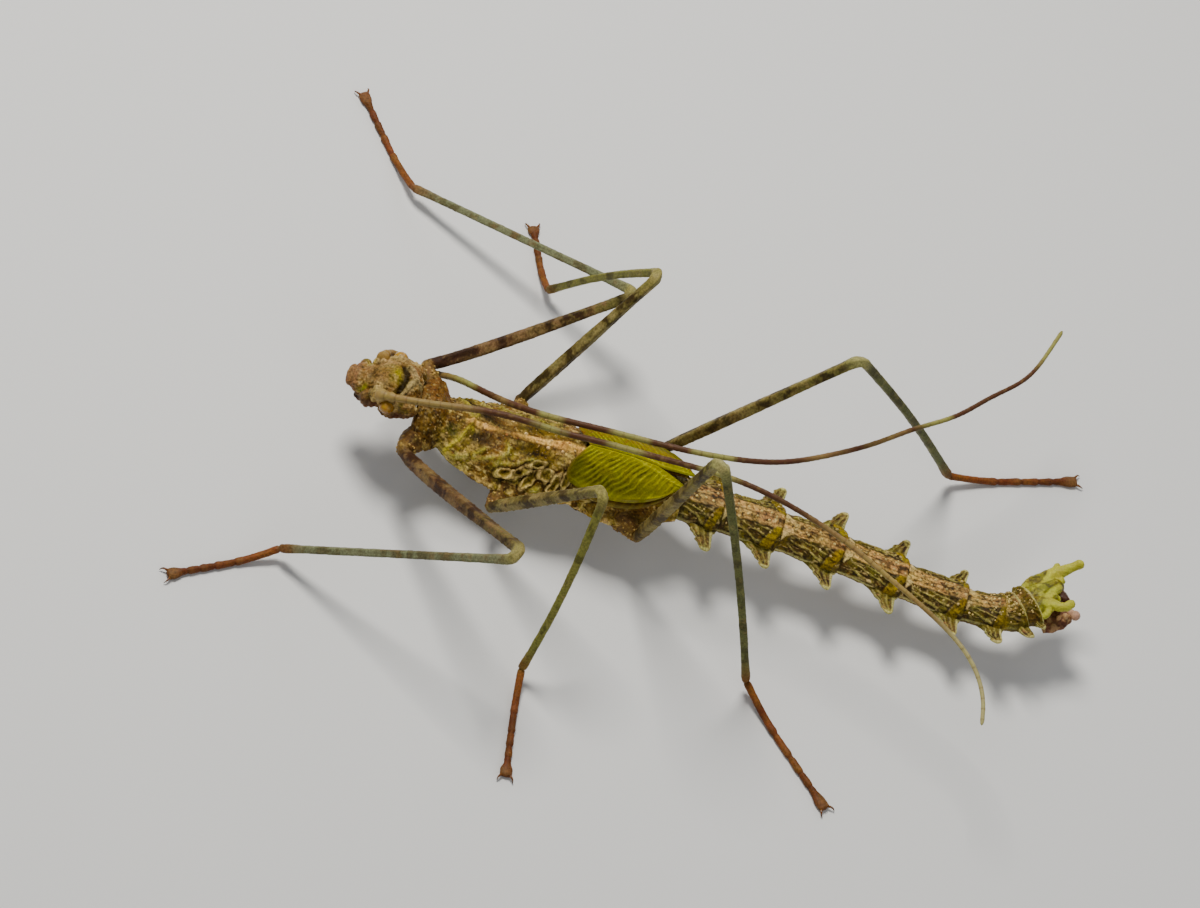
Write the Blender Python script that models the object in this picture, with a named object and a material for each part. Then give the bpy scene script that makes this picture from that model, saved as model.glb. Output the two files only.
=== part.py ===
"""Giant stick insect, life size, standing: one closed solid for each named body part."""

import math

import bmesh
import bpy
from mathutils import Vector

MM = 0.001
SEAM = 0.30                    # clear space between neighbouring parts, mm
SHIFT = (-6.3, -5.84)          # moves the bounding box's centre onto the origin, mm

ANKLE_HEIGHT = 2.0
TOE_HEIGHT = 0.42
SHIN_RADIUS = 0.55
FOOT_RADIUS = 0.48
PAD_HALF_WIDTH = 0.95

# Legs by pair: hip place (x, distance from the middle, height), lengths and thickness.
PAIRS = {
    "front": {"hip": (-27.5, 7.1, 9.8), "root": (-26.1, 3.5, 8.5), "coxa": 1.4,
              "thigh": 30.15, "shin": 36.1, "radius": 0.92, "sag": 0.8, "bow": 0.0},
    "middle": {"hip": (-14.4, 8.8, 6.2), "root": (-12.6, 4.0, 6.9), "coxa": 1.5,
               "thigh": 25.4, "shin": 28.1, "radius": 0.78, "sag": 0.0, "bow": 0.8},
    "hind": {"hip": (4.9, 7.1, 7.7), "root": (2.0, 4.0, 7.4), "coxa": 1.7,
             "thigh": 33.15, "shin": 40.6, "radius": 0.78, "sag": 0.0, "bow": 0.6},
}

# Each leg's pose in degrees: thigh heading and rise, shin heading, foot heading, foot length in mm.
POSES = {
    "left_front": (-51.4, 30.4, 168.9, -147.6, 15.0),
    "right_front": (39.6, 6.5, 155.6, 126.0, 17.6),
    "left_middle": (-34.4, 57.2, -97.9, -83.7, 15.2),
    "right_middle": (46.3, 49.9, 137.0, 111.3, 11.6),
    "left_hind": (-64.2, 73.8, -14.4, -44.9, 19.8),
    "right_hind": (10.6, 54.6, 29.6, 21.6, 19.4),
}

# Body middle line behind the wings: where each segment ends (x, y, z), half width, roll in degrees.
ABDOMEN_ENDS = (
    ((8.9, 0.2, 8.9), 3.6, 0), ((14.6, 0.2, 8.8), 3.4, 0), ((22.7, 0.2, 8.6), 3.2, 0),
    ((31.4, 0.1, 8.2), 3.1, 0), ((40.3, -0.3, 7.5), 2.95, 2), ((49.0, -0.7, 7.2), 2.85, 8),
    ((54.3, -0.7, 7.8), 3.0, 16), ((56.2, 0.2, 8.3), 3.3, 22), ((57.6, 1.4, 8.6), 3.6, 22),
)
LEFT_LOBES = (3.8, 3.4, 3.3, 3.3, 3.2, 3.0, 2.1, 0.4)
RIGHT_LOBES = (3.6, 3.2, 3.1, 3.1, 2.7, 0.4, 0.1, 0.0)
TAIL_END = (61.4, 4.4, 9.8)

# Swept-back feelers: points along each (x, y, z).
RIGHT_FEELER = (
    (-33.6, 2.6, 13.8), (-33.7, 5.5, 13.0), (-32.1, 7.1, 10.4), (-29.5, 7.4, 8.2), (-27.2, 7.6, 6.2),
    (-25.3, 8.2, 7.2), (-24.2, 7.3, 9.3), (-22.6, 5.4, 11.2), (-20.3, 3.5, 13.0), (-17.2, 1.7, 14.8),
    (-13.6, 0.4, 16.3), (-9.4, -0.6, 18.0), (-4.5, -1.2, 19.8), (-0.6, -1.5, 20.5),
    (6.7, -1.5, 21.4), (11.3, -1.1, 21.9), (18.7, 0.7, 22.0), (24.8, 4.6, 22.0),
    (30.9, 9.1, 21.8), (34.9, 13.5, 21.6), (40.6, 17.6, 21.2), (44.3, 23.2, 21.0),
    (48.6, 27.0, 20.6), (50.9, 33.6, 20.2), (52.3, 38.0, 20.0),
)
LEFT_FEELER = (
    (-33.4, -2.1, 13.6), (-30.7, -3.5, 16.3), (-27.4, -3.2, 16.4), (-24.3, -2.8, 16.4),
    (-20.0, -1.9, 16.4), (-16.6, -1.7, 16.8), (-13.2, -1.8, 17.2), (-9.0, -2.5, 17.9),
    (-4.0, -2.5, 18.9), (-0.1, -2.8, 19.5), (7.0, -2.8, 20.2), (11.8, -2.7, 20.6),
    (17.8, -3.4, 20.9), (24.2, -4.9, 20.8), (30.7, -7.1, 20.5), (36.3, -9.7, 20.0),
    (42.1, -12.2, 19.4), (48.7, -16.2, 18.6), (51.9, -21.9, 18.0), (52.0, -25.0, 17.5),
)
FEELER_RADIUS = (0.50, 0.34)
FEELER_SMOOTHING = 10          # passes that take the kinks out of the feelers
EYE_RADIUS = 0.95

COLOURS = {
    "bark": (0.16, 0.095, 0.035), "olive": (0.17, 0.16, 0.03), "russet": (0.22, 0.09, 0.025),
    "leaf": (0.26, 0.30, 0.02), "eye": (0.45, 0.22, 0.03), "pale": (0.42, 0.40, 0.16),
}


def clear_scene():
    for item in list(bpy.data.objects):
        bpy.data.objects.remove(item, do_unlink=True)
    for mesh in list(bpy.data.meshes):
        bpy.data.meshes.remove(mesh)


def material(name, colour):
    made = bpy.data.materials.new(name)
    made.use_nodes = True
    shader = made.node_tree.nodes["Principled BSDF"]
    shader.inputs["Base Color"].default_value = (*COLOURS[colour], 1.0)
    shader.inputs["Roughness"].default_value = 0.45 if colour == "eye" else 0.7
    shader.inputs["Metallic"].default_value = 0.0
    return made


def blend(values, t):
    """Straight-line reading of a short list at t from 0 to 1."""
    place = min(max(t, 0.0), 1.0) * (len(values) - 1)
    low = min(int(place), len(values) - 2)
    return values[low] + (values[low + 1] - values[low]) * (place - low)


def spline(points, t):
    """Smooth curve through the points at t from 0 to 1."""
    count = len(points) - 1
    place = min(max(t, 0.0), 1.0) * count
    low = min(int(place), count - 1)
    f = place - low
    a, b, c, d = (Vector(points[min(max(low + k, 0), count)]) for k in (-1, 0, 1, 2))
    return 0.5 * (2 * b + (c - a) * f + (2 * a - 5 * b + 4 * c - d) * f * f + (3 * b - a - 3 * c + d) * f ** 3)


def heading(yaw, rise):
    yaw, rise = math.radians(yaw), math.radians(rise)
    return Vector((math.cos(rise) * math.cos(yaw), math.cos(rise) * math.sin(yaw), math.sin(rise)))


def tangents(points):
    last = len(points) - 1
    return [(points[min(i + 1, last)] - points[max(i - 1, 0)]).normalized() for i in range(last + 1)]


def resample(points, count):
    """Evenly spaced points along a bent line, ends kept."""
    sums = [0.0]
    for a, b in zip(points, points[1:]):
        sums.append(sums[-1] + (b - a).length)
    out = []
    for i in range(count):
        want = sums[-1] * i / (count - 1)
        k = max(j for j in range(len(sums) - 1) if sums[j] <= want + 1e-9)
        f = (want - sums[k]) / max(sums[k + 1] - sums[k], 1e-9)
        out.append(points[k].lerp(points[k + 1], min(f, 1.0)))
    return out


def add_mesh(name, bm, colour):
    bmesh.ops.recalc_face_normals(bm, faces=bm.faces)
    for face in bm.faces:
        face.smooth = True
    for vert in bm.verts:
        vert.co = Vector((vert.co.x + SHIFT[0], vert.co.y + SHIFT[1], vert.co.z)) * MM
    mesh = bpy.data.meshes.new(name)
    bm.to_mesh(mesh)
    bm.free()
    item = bpy.data.objects.new(name, mesh)
    bpy.context.scene.collection.objects.link(item)
    item.data.materials.append(material(name, colour))
    return item


def loft(name, rings, colour):
    """Closed skin over a row of rings that all have the same number of points."""
    bm = bmesh.new()
    rows = [[bm.verts.new(p) for p in ring] for ring in rings]
    count = len(rings[0])
    for low, high in zip(rows, rows[1:]):
        for i in range(count):
            j = (i + 1) % count
            bm.faces.new((low[i], low[j], high[j], high[i]))
    for row in (rows[0], rows[-1]):
        middle = sum((v.co for v in row), Vector()) / count
        centre = bm.verts.new(middle)
        for i in range(count):
            bm.faces.new((row[i], row[(i + 1) % count], centre))
    return add_mesh(name, bm, colour)


def tube_rings(points, radii, side, sides=8, normals=None, floor=False):
    """Round rings along a bent line; side is the direction the rings are squared to."""
    out = []
    for i, (point, along) in enumerate(zip(points, normals or tangents(points))):
        across = (side - along * side.dot(along)).normalized()
        up = across.cross(along).normalized()
        wide, tall = radii[i] if isinstance(radii[i], tuple) else (radii[i], radii[i])
        ring = []
        for k in range(sides):
            angle = 2 * math.pi * (k + 0.5) / sides
            spot = point + across * (wide * math.cos(angle)) + up * (tall * math.sin(angle))
            if floor:
                spot.z = max(spot.z, 0.0)
            ring.append(spot)
        out.append(ring)
    return out


def combine(host, cutter, operation):
    """Boolean step on host; the cutter stays hidden."""
    step = host.modifiers.new("join_" + cutter.name, "BOOLEAN")
    step.operation = operation
    step.solver = "EXACT"
    step.object = cutter
    cutter.hide_render = True
    cutter.display_type = "WIRE"


# Ring directions for the body: two close pairs at the sides carry the lobes.
BODY_ANGLES = (9, 36, 63, 90, 117, 144, 171, 189, 222, 250, 290, 318, 351)


def body_ring(centre, along, half, top, bottom, lobes=(0.0, 0.0), droop=0.0, ridge=0.0, roll=0.0):
    """One cross section: half width, height above and below the middle, left and right lobe."""
    level = Vector((-along.y, along.x, 0)).normalized()
    rise = along.cross(level).normalized()
    turn = math.radians(roll)
    side = level * math.cos(turn) - rise * math.sin(turn)
    up = rise * math.cos(turn) + level * math.sin(turn)
    ring = []
    for angle in BODY_ANGLES:
        c, s = math.cos(math.radians(angle)), math.sin(math.radians(angle))
        y = half * c
        z = (top if s > 0 else bottom) * s
        if abs(s) < 0.2:
            lobe = lobes[0] if c < 0 else lobes[1]
            y += math.copysign(lobe, c)
            z = math.copysign(0.28, s) + 0.1 - droop * lobe
        if angle == 90:
            z += ridge
        ring.append(centre + side * y + up * z)
    return ring


def row_of_rings(stations):
    """Upright rings for a list of (x, y, z, half, top, bottom, side lobe, ridge)."""
    return [body_ring(Vector(s[:3]), Vector((1, 0, 0)), s[3], s[4], s[5], (s[6], s[6]), 0.05, s[7])
            for s in stations]


def build_head():
    """Snout, brow and crown in one; the eyes and feelers sit in sockets cut into it."""
    front, back = Vector((-36.8, 0.5, 10.5)), Vector((-28.1, 0.35, 12.5))
    along = (back - front).normalized()
    stations = (
        (0.0, 1.2, 0.8, 0.7), (0.25, 2.0, 1.3, 1.2), (1.3, 2.7, 1.9, 1.8), (2.3, 2.7, 2.1, 2.2),
        (3.1, 2.75, 2.4, 2.4), (4.1, 3.5, 2.9, 2.7), (5.4, 4.1, 3.3, 3.0), (6.6, 4.15, 3.1, 3.1),
        (7.5, 3.9, 2.9, 3.1), (8.1, 3.5, 3.4, 2.9), (8.7, 2.9, 2.8, 2.6), (9.1, 2.2, 2.1, 2.1),
    )
    rings = []
    for step, half, top, bottom in stations:
        ring = []
        centre = front + along * step
        side = Vector((-along.y, along.x, 0)).normalized()
        up = along.cross(side).normalized()
        for k in range(14):
            angle = 2 * math.pi * (k + 0.5) / 14
            c, s = math.cos(angle), math.sin(angle)
            z = (top if s > 0 else bottom) * s
            if 7.0 < step < 8.5 and 2 <= k <= 4:
                z += 0.45 if k != 3 else -0.35
            ring.append(centre + side * (half * c) + up * z)
        rings.append(ring)
    return loft("head", rings, "bark")


def ball(name, centre, radii, colour, segments=12, rows=8):
    bm = bmesh.new()
    bmesh.ops.create_uvsphere(bm, u_segments=segments, v_segments=rows, radius=1.0)
    for vert in bm.verts:
        vert.co = Vector(vert.co[i] * radii[i] + centre[i] for i in range(3))
    return add_mesh(name, bm, colour)


def build_eyes(head):
    for name, side in (("left_eye", -1), ("right_eye", 1)):
        centre = (-31.2, 0.5 + side * 4.0, 12.8)
        radii = (EYE_RADIUS, 0.85, 0.85)
        ball(name, centre, radii, "eye")
        socket = ball(name + "_socket", centre, tuple(r + SEAM for r in radii), "eye")
        combine(head, socket, "DIFFERENCE")


def build_feelers(head):
    for side, points in (("left", LEFT_FEELER), ("right", RIGHT_FEELER)):
        radii = (1.0, 0.75, 0.72)
        ball(side + "_antenna_base", points[0], radii, "pale", 10, 6)
        socket = ball(side + "_antenna_socket", points[0], tuple(r + SEAM for r in radii), "pale", 10, 6)
        combine(head, socket, "DIFFERENCE")
        path = resample([spline(points, i / 160) for i in range(161)], 81)
        for _ in range(FEELER_SMOOTHING):
            path = path[:1] + [(a + 2 * b + c) / 4 for a, b, c in zip(path, path[1:], path[2:])] + path[-1:]
        along = tangents(path)
        for label, first, last in (("near", 1, 26), ("middle", 26, 53), ("far", 53, 80)):
            picks = list(range(first, last, 3)) + [last]
            spots = [path[i].copy() for i in picks]
            spots[0] += along[first] * (SEAM / 2 if first > 1 else 0.3)
            spots[-1] -= along[last] * (SEAM / 2 if last < 80 else 0.0)
            radii = [blend(FEELER_RADIUS, i / 80) for i in picks]
            if last == 80:
                radii[-1] = 0.22
            rings = tube_rings(spots, radii, Vector((0, 0, 1)), 6, [along[i] for i in picks])
            loft(f"{side}_antenna_{label}", rings, "russet")


def build_thorax():
    """Three lengths of chest; the leg roots sit in sockets cut into them."""
    front = row_of_rings((
        (-27.1, 0.2, 10.4, 3.5, 2.0, 2.6, 0.0, 0.0), (-26.6, 0.15, 10.0, 4.4, 2.4, 2.8, 0.2, 0.1),
        (-25.6, 0.0, 9.5, 4.8, 2.8, 2.9, 0.5, 0.2), (-24.5, 0.0, 9.1, 4.7, 2.8, 2.9, 0.4, 0.2),
        (-23.6, 0.0, 8.8, 3.9, 2.4, 2.6, 0.0, 0.1),
    ))
    middle = row_of_rings((
        (-23.3, 0.0, 8.8, 3.5, 2.3, 2.5, 0.0, 0.1), (-22.0, 0.0, 8.1, 4.3, 2.8, 2.8, 0.2, 0.3),
        (-20.0, 0.0, 7.7, 5.0, 3.0, 3.0, 0.4, 0.4), (-17.8, 0.0, 7.5, 5.5, 3.2, 3.1, 0.3, 0.4),
        (-15.4, 0.0, 7.5, 6.0, 3.3, 3.2, 0.7, 0.4), (-12.8, 0.0, 7.6, 6.1, 3.5, 3.2, 0.7, 0.4),
        (-10.0, 0.0, 7.8, 6.0, 3.8, 3.2, 0.4, 0.4), (-7.4, 0.0, 8.2, 5.8, 4.1, 3.2, 0.5, 0.4),
        (-5.3, 0.0, 8.5, 5.4, 4.2, 3.1, 0.1, 0.4),
    ))
    rear = row_of_rings((
        (-5.0, 0.0, 8.1, 5.2, 4.2, 2.9, 0.0, 0.0), (-3.0, 0.0, 8.0, 5.6, 4.4, 3.0, 0.6, 0.0),
        (0.0, 0.0, 8.0, 5.7, 4.4, 3.0, 0.9, 0.0), (3.0, 0.0, 8.0, 5.4, 4.2, 2.9, 0.7, 0.0),
        (6.0, 0.1, 8.4, 4.5, 3.5, 2.7, 0.4, 0.0), (8.7, 0.2, 8.9, 3.6, 2.6, 2.5, 0.0, 0.0),
    ))
    return {
        "front": loft("prothorax", front, "bark"),
        "middle": loft("mesothorax", middle, "bark"),
        "hind": loft("metathorax", rear, "bark"),
    }


def build_abdomen():
    """Eight segments, each drawn out into a leaf-like lobe at both rear corners."""
    profile = ((0.0, 0.96, 0.0), (0.3, 0.93, 0.0), (0.56, 0.97, 0.12), (0.70, 1.0, 0.55),
               (0.82, 1.02, 0.96), (0.93, 1.03, 0.92), (1.0, 0.98, 0.0))
    ends = [Vector(e[0]) for e in ABDOMEN_ENDS]
    lines = tangents(ends + [Vector(TAIL_END)])
    for n in range(8):
        start, finish = ends[n], ends[n + 1]
        length = (finish - start).length
        rings = []
        for t, swell, lobe in profile:
            place = min(max(t, SEAM / 2 / length), 1 - SEAM / 2 / length)
            along = lines[n].lerp(lines[n + 1], place).normalized()
            bend = (lines[n] - lines[n + 1]) * (place * (1 - place) * length * 0.5)
            half = (ABDOMEN_ENDS[n][1] * (1 - place) + ABDOMEN_ENDS[n + 1][1] * place) * swell
            centre = start.lerp(finish, place) + bend
            roll = ABDOMEN_ENDS[n][2] * (1 - place) + ABDOMEN_ENDS[n + 1][2] * place
            lobes = (LEFT_LOBES[n] * lobe, RIGHT_LOBES[n] * lobe)
            rings.append(body_ring(centre, along, half, half * 0.74, half * 0.72, lobes, 0.06, 0.1, roll))
        loft(f"abdomen_{n + 1}", rings, "olive")


def build_tail():
    """Flared last segment, its two claspers and the plate below."""
    start, finish = Vector(ABDOMEN_ENDS[-1][0]), Vector(TAIL_END)
    along = (finish - start).normalized()
    rings = []
    for t, half, top, bottom in ((0.0, 3.4, 2.5, 2.1), (0.2, 3.6, 2.6, 1.9), (0.45, 4.0, 2.8, 1.6),
                                 (0.7, 4.4, 3.0, 1.4), (0.9, 4.1, 2.8, 1.2), (1.0, 3.1, 2.0, 0.9)):
        centre = start.lerp(finish, t) + along * (SEAM / 2 if t == 0.0 else 0.0)
        rings.append(body_ring(centre, along, half, top, bottom, roll=ABDOMEN_ENDS[-1][2]))
    tail = loft("tail_end", rings, "leaf")
    claspers = (
        ("right_clasper", ((59.2, 6.5, 10.6), (60.8, 7.6, 10.9), (62.8, 8.9, 11.1)), (0.62, 0.62, 0.72)),
        ("left_clasper", ((60.6, 2.0, 10.2), (61.8, 2.1, 10.8), (62.8, 2.2, 11.4)), (0.62, 0.62, 0.68)),
    )
    for name, points, sizes in claspers:
        path = [spline(points, i / 5) for i in range(6)]
        radii = [blend(sizes, i / 5) for i in range(6)]
        radii[-1] = 0.35
        loft(name, tube_rings(path, radii, Vector((0, 0, 1))), "leaf")
        grown = tube_rings(path, [r + SEAM for r in radii], Vector((0, 0, 1)))
        combine(tail, loft(name + "_socket", grown, "leaf"), "DIFFERENCE")
    under = [Vector(p) for p in ((58.4, 1.2, 6.3), (60.0, 1.7, 6.3), (62.0, 2.2, 6.9), (63.8, 2.9, 7.7))]
    sizes = ((1.9, 0.5), (2.1, 0.7), (1.7, 0.7), (0.8, 0.55))
    plate = tube_rings(under, list(sizes), Vector((-along.y, along.x, 0)))
    plate = loft("underside_plate", plate, "russet")
    grown = [p.copy() for p in under]
    grown = tube_rings(grown, [(w + SEAM, h + SEAM) for w, h in sizes], Vector((-along.y, along.x, 0)))
    combine(tail, loft("plate_socket", grown, "russet"), "DIFFERENCE")
    return plate


def wing_height(x):
    """Height of the folded wings' upper face along the middle line."""
    return 14.35 - 0.016 * (x - 0.5) ** 2


def build_wing(name, side, first, tip, width, drop, thick, colour):
    """Short folded wing lying over the back like a pitched roof."""
    across, along = 7, 9
    levels = []
    for face in (0.0, thick):
        rows = []
        for i in range(along):
            u = i / (along - 1)
            full = math.sin(math.pi * (0.24 + 0.76 * u) ** 1.0) ** 0.42 if u < 1 else 0.0
            reach = width * max(full, 0.16)
            row = []
            for j in range(across):
                v = j / (across - 1)
                inner = 0.22 + 1.5 * max(0.0, u - 0.68) ** 1.2 * 3.2
                y = inner + (reach - inner) * v if reach > inner + 0.4 else inner + 0.4 * v
                x = first + (tip - first) * u - 1.7 * v * (1 - u) ** 2 - 0.8 * v * v * u
                z = wing_height(x) - drop - 0.100 * y ** 2.0 - face
                row.append(Vector((x, 0.1 + side * y, z)))
            rows.append(row)
        levels.append(rows)
    bm = bmesh.new()
    grid = [[[bm.verts.new(p) for p in row] for row in rows] for rows in levels]
    for level in grid:
        for i in range(along - 1):
            for j in range(across - 1):
                bm.faces.new((level[i][j], level[i + 1][j], level[i + 1][j + 1], level[i][j + 1]))
    rim = [(i, 0) for i in range(along)] + [(along - 1, j) for j in range(1, across)]
    rim += [(i, across - 1) for i in range(along - 2, -1, -1)] + [(0, j) for j in range(across - 2, 0, -1)]
    for (a, b), (c, d) in zip(rim, rim[1:] + rim[:1]):
        bm.faces.new((grid[0][a][b], grid[0][c][d], grid[1][c][d], grid[1][a][b]))
    return add_mesh(name, bm, colour)


def build_wings():
    build_wing("left_forewing", -1, -4.7, 8.9, 5.5, 0.0, 0.5, "leaf")
    build_wing("right_forewing", 1, -4.7, 10.2, 5.4, 0.0, 0.5, "leaf")
    build_wing("left_hindwing", -1, -3.5, 8.6, 5.7, 0.85, 0.5, "olive")
    build_wing("right_hindwing", 1, -3.5, 9.4, 5.6, 0.85, 0.5, "olive")


def leg_joints(name):
    """Hip, knee, ankle and toe from the pair's lengths and the leg's own angles."""
    side = -1 if name.startswith("left") else 1
    pair = PAIRS[name.split("_")[1]]
    yaw, rise, shin_yaw, foot_yaw, foot = POSES[name]
    x, y, z = pair["hip"]
    hip = Vector((x, side * y, z))
    knee = hip + heading(yaw, rise) * pair["thigh"]
    drop = math.degrees(math.asin((knee.z - ANKLE_HEIGHT) / pair["shin"]))
    ankle = knee + heading(shin_yaw, -drop) * pair["shin"]
    toe = ankle + heading(foot_yaw, 0) * foot
    toe.z = TOE_HEIGHT
    x, y, z = pair["root"]
    return Vector((x, side * y, z)), hip, knee, ankle, toe


def knee_arc(hip, knee, ankle, bend, steps=3):
    """Points round the bend, from the thigh side to its crest and on to the shin side."""
    u, v = (hip - knee).normalized(), (ankle - knee).normalized()
    inward, across = (u + v).normalized(), (u - v).normalized()
    turn = math.pi / 2 - math.acos(max(-1.0, min(1.0, u.dot(inward))))
    centre = knee + inward * bend
    before = []
    for i in range(steps + 1):
        angle = turn * (1 - i / steps)
        before.append(centre + (across * math.sin(angle) - inward * math.cos(angle)) * bend)
    mirrored = []
    for p in reversed(before):
        offset = p - knee
        mirrored.append(knee + offset - across * (2 * offset.dot(across)))
    return before, mirrored


def build_leg(name, host):
    pair = PAIRS[name.split("_")[1]]
    root, hip, knee, ankle, toe = leg_joints(name)
    before, after = knee_arc(hip, knee, ankle, pair["radius"] * 0.92 + 0.3)
    plane = (hip - knee).cross(ankle - knee).normalized()
    radius = pair["radius"]

    thigh = []
    for i in range(6):
        t = i / 6
        sag = pair["sag"] * math.sin(math.pi * t ** 0.6)
        thigh.append(hip.lerp(before[0], t) - Vector((0, 0, sag)))
    thigh += before
    lines = tangents(thigh)
    lines[-1] = (before[-1] - before[-2]).lerp(after[1] - after[0], 0.5).normalized()
    joint = (hip - root).normalized().lerp(lines[0], 0.5).normalized()
    lines[0] = joint
    crest = lines[-1]
    thigh[0] = thigh[0] + joint * (SEAM / 2)
    thigh[-1] = thigh[-1] - crest * (SEAM / 2)
    sizes = [0.74, 0.9, 1.0, 1.0, 0.95, 0.86, 0.8, 0.86, 0.92, 0.92]
    loft(name + "_femur", tube_rings(thigh, [radius * s for s in sizes], plane, 8, lines), "olive")

    coxa = [root, root.lerp(hip, 0.5), hip - joint * (SEAM / 2)]
    coxa_lines = [(hip - root).normalized()] * 2 + [joint]
    sizes = [pair["coxa"] * 0.9, pair["coxa"], radius * 0.95]
    side = Vector((0, 0, 1))
    loft(name + "_coxa", tube_rings(coxa, sizes, side, 8, coxa_lines), "russet")
    grown = [root - coxa_lines[0] * SEAM, coxa[1], root.lerp(hip, 0.85)]
    sizes = [pair["coxa"] * 0.9 + SEAM, pair["coxa"] + SEAM, radius + SEAM]
    socket = loft(name + "_socket", tube_rings(grown, sizes, side, 8, [coxa_lines[0]] * 3), "russet")
    combine(host, socket, "DIFFERENCE")

    outward = (ankle - knee).normalized()
    outward = ((knee - hip) - outward * (knee - hip).dot(outward)).normalized() * pair["bow"]
    shin = list(after)
    for i in range(1, 6):
        shin.append(after[-1].lerp(ankle, i / 5) + outward * math.sin(math.pi * i / 5))
    lines = tangents(shin)
    lines[0] = crest
    foot_path = [ankle.lerp(toe, t) for t in (0.0, 0.12, 0.32, 0.55, 0.75, 0.88, 0.96, 1.0)]
    for t, spot in zip((0.0, 0.12, 0.32, 0.55, 0.75, 0.88, 0.96, 1.0), foot_path):
        spot.z = TOE_HEIGHT + (ANKLE_HEIGHT - TOE_HEIGHT) * max(0.0, 1 - t / 0.42) ** 1.6
    bend = lines[-2].lerp((foot_path[1] - foot_path[0]).normalized(), 0.5).normalized()
    lines[-1] = bend
    shin[0] = shin[0] + crest * (SEAM / 2)
    shin[-1] = shin[-1] - bend * (SEAM / 2)
    sizes = [radius * 0.92, radius * 0.85, SHIN_RADIUS * 1.15, SHIN_RADIUS * 1.05]
    sizes += [SHIN_RADIUS * s for s in (1.0, 0.95, 0.95, 0.98, 1.0)]
    loft(name + "_tibia", tube_rings(shin, sizes, plane, 8, lines), "olive")

    lines = tangents(foot_path)
    lines[0] = bend
    foot_path[0] = foot_path[0] + bend * (SEAM / 2)
    flat = Vector((-lines[3].y, lines[3].x, 0)).normalized()
    sizes = [SHIN_RADIUS, FOOT_RADIUS * 1.05, FOOT_RADIUS, FOOT_RADIUS, FOOT_RADIUS,
             (FOOT_RADIUS * 1.15, FOOT_RADIUS), (PAD_HALF_WIDTH, 0.5), (PAD_HALF_WIDTH * 0.8, 0.4)]
    foot = loft(name + "_tarsus", tube_rings(foot_path, sizes, flat, 8, lines, True), "russet")
    return foot


def main():
    clear_scene()
    head = build_head()
    build_eyes(head)
    build_feelers(head)
    thorax = build_thorax()
    build_abdomen()
    build_tail()
    build_wings()
    for name in POSES:
        build_leg(name, thorax[name.split("_")[1]])
    nodes = [o for o in bpy.data.objects if not o.hide_render]
    low = [min((o.matrix_world @ v.co)[k] for o in nodes for v in o.data.vertices) / MM for k in range(3)]
    high = [max((o.matrix_world @ v.co)[k] for o in nodes for v in o.data.vertices) / MM for k in range(3)]
    print("nodes", len(nodes), "box mm", [round(v, 2) for v in low], [round(v, 2) for v in high])


main()
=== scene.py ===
import math

import bmesh
import bpy
import numpy as np
from mathutils import Matrix, Vector


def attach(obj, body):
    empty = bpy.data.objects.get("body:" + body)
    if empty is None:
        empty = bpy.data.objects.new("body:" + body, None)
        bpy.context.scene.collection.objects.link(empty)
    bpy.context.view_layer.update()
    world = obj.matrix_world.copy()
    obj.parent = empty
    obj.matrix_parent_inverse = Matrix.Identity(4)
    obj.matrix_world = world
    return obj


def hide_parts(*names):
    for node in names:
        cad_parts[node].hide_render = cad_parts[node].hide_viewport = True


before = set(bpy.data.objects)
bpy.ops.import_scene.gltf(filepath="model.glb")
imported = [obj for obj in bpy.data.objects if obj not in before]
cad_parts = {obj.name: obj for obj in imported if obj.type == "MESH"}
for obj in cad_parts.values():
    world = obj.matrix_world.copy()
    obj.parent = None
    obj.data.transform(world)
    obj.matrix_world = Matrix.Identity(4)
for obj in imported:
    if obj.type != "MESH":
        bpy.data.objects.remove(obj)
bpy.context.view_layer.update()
mm = 0.001
bodyOrigin = np.array((-6.3, -5.84, 0.0))   # where the insect's own zero lies in the frame, mm
chance = np.random.default_rng(11)


def step(x, low, high):
    t = np.clip((x - low) / (high - low), 0.0, 1.0)
    return t * t * (3 - 2 * t)


def hill(x, centre, width):
    return np.exp(-((x - centre) / width) ** 2)


def unit(v):
    return v / np.maximum(np.linalg.norm(v, axis=-1, keepdims=True), 1e-12)


def cellValue(ix, iy, iz, seed):
    n = (ix * 73856093) ^ (iy * 19349663) ^ (iz * 83492791) ^ (seed * 40503)
    n = ((n ^ (n >> 13)) * 1274126177) & 0x7FFFFFFF
    n = ((n ^ (n >> 11)) * 69069) & 0x7FFFFFFF
    return ((n >> 7) & 0xFFFF) / 65535.0


def cloud(points, size, seed=1, octaves=3):
    # soft 3-D noise from -1 to 1
    total, weight, level = 0.0, 0.0, 1.0
    for k in range(octaves):
        p = points / size * 2.0 ** k
        low = np.floor(p).astype(np.int64)
        f = p - low
        f = f * f * (3 - 2 * f)
        value = 0.0
        for corner in range(8):
            dx, dy, dz = corner & 1, corner >> 1 & 1, corner >> 2 & 1
            weightX = f[..., 0] if dx else 1 - f[..., 0]
            weightY = f[..., 1] if dy else 1 - f[..., 1]
            weightZ = f[..., 2] if dz else 1 - f[..., 2]
            value = value + weightX * weightY * weightZ * cellValue(
                low[..., 0] + dx, low[..., 1] + dy, low[..., 2] + dz, seed + 17 * k)
        total = total + (value * 2 - 1) * level
        weight += level
        level *= 0.55
    return total / weight


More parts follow.
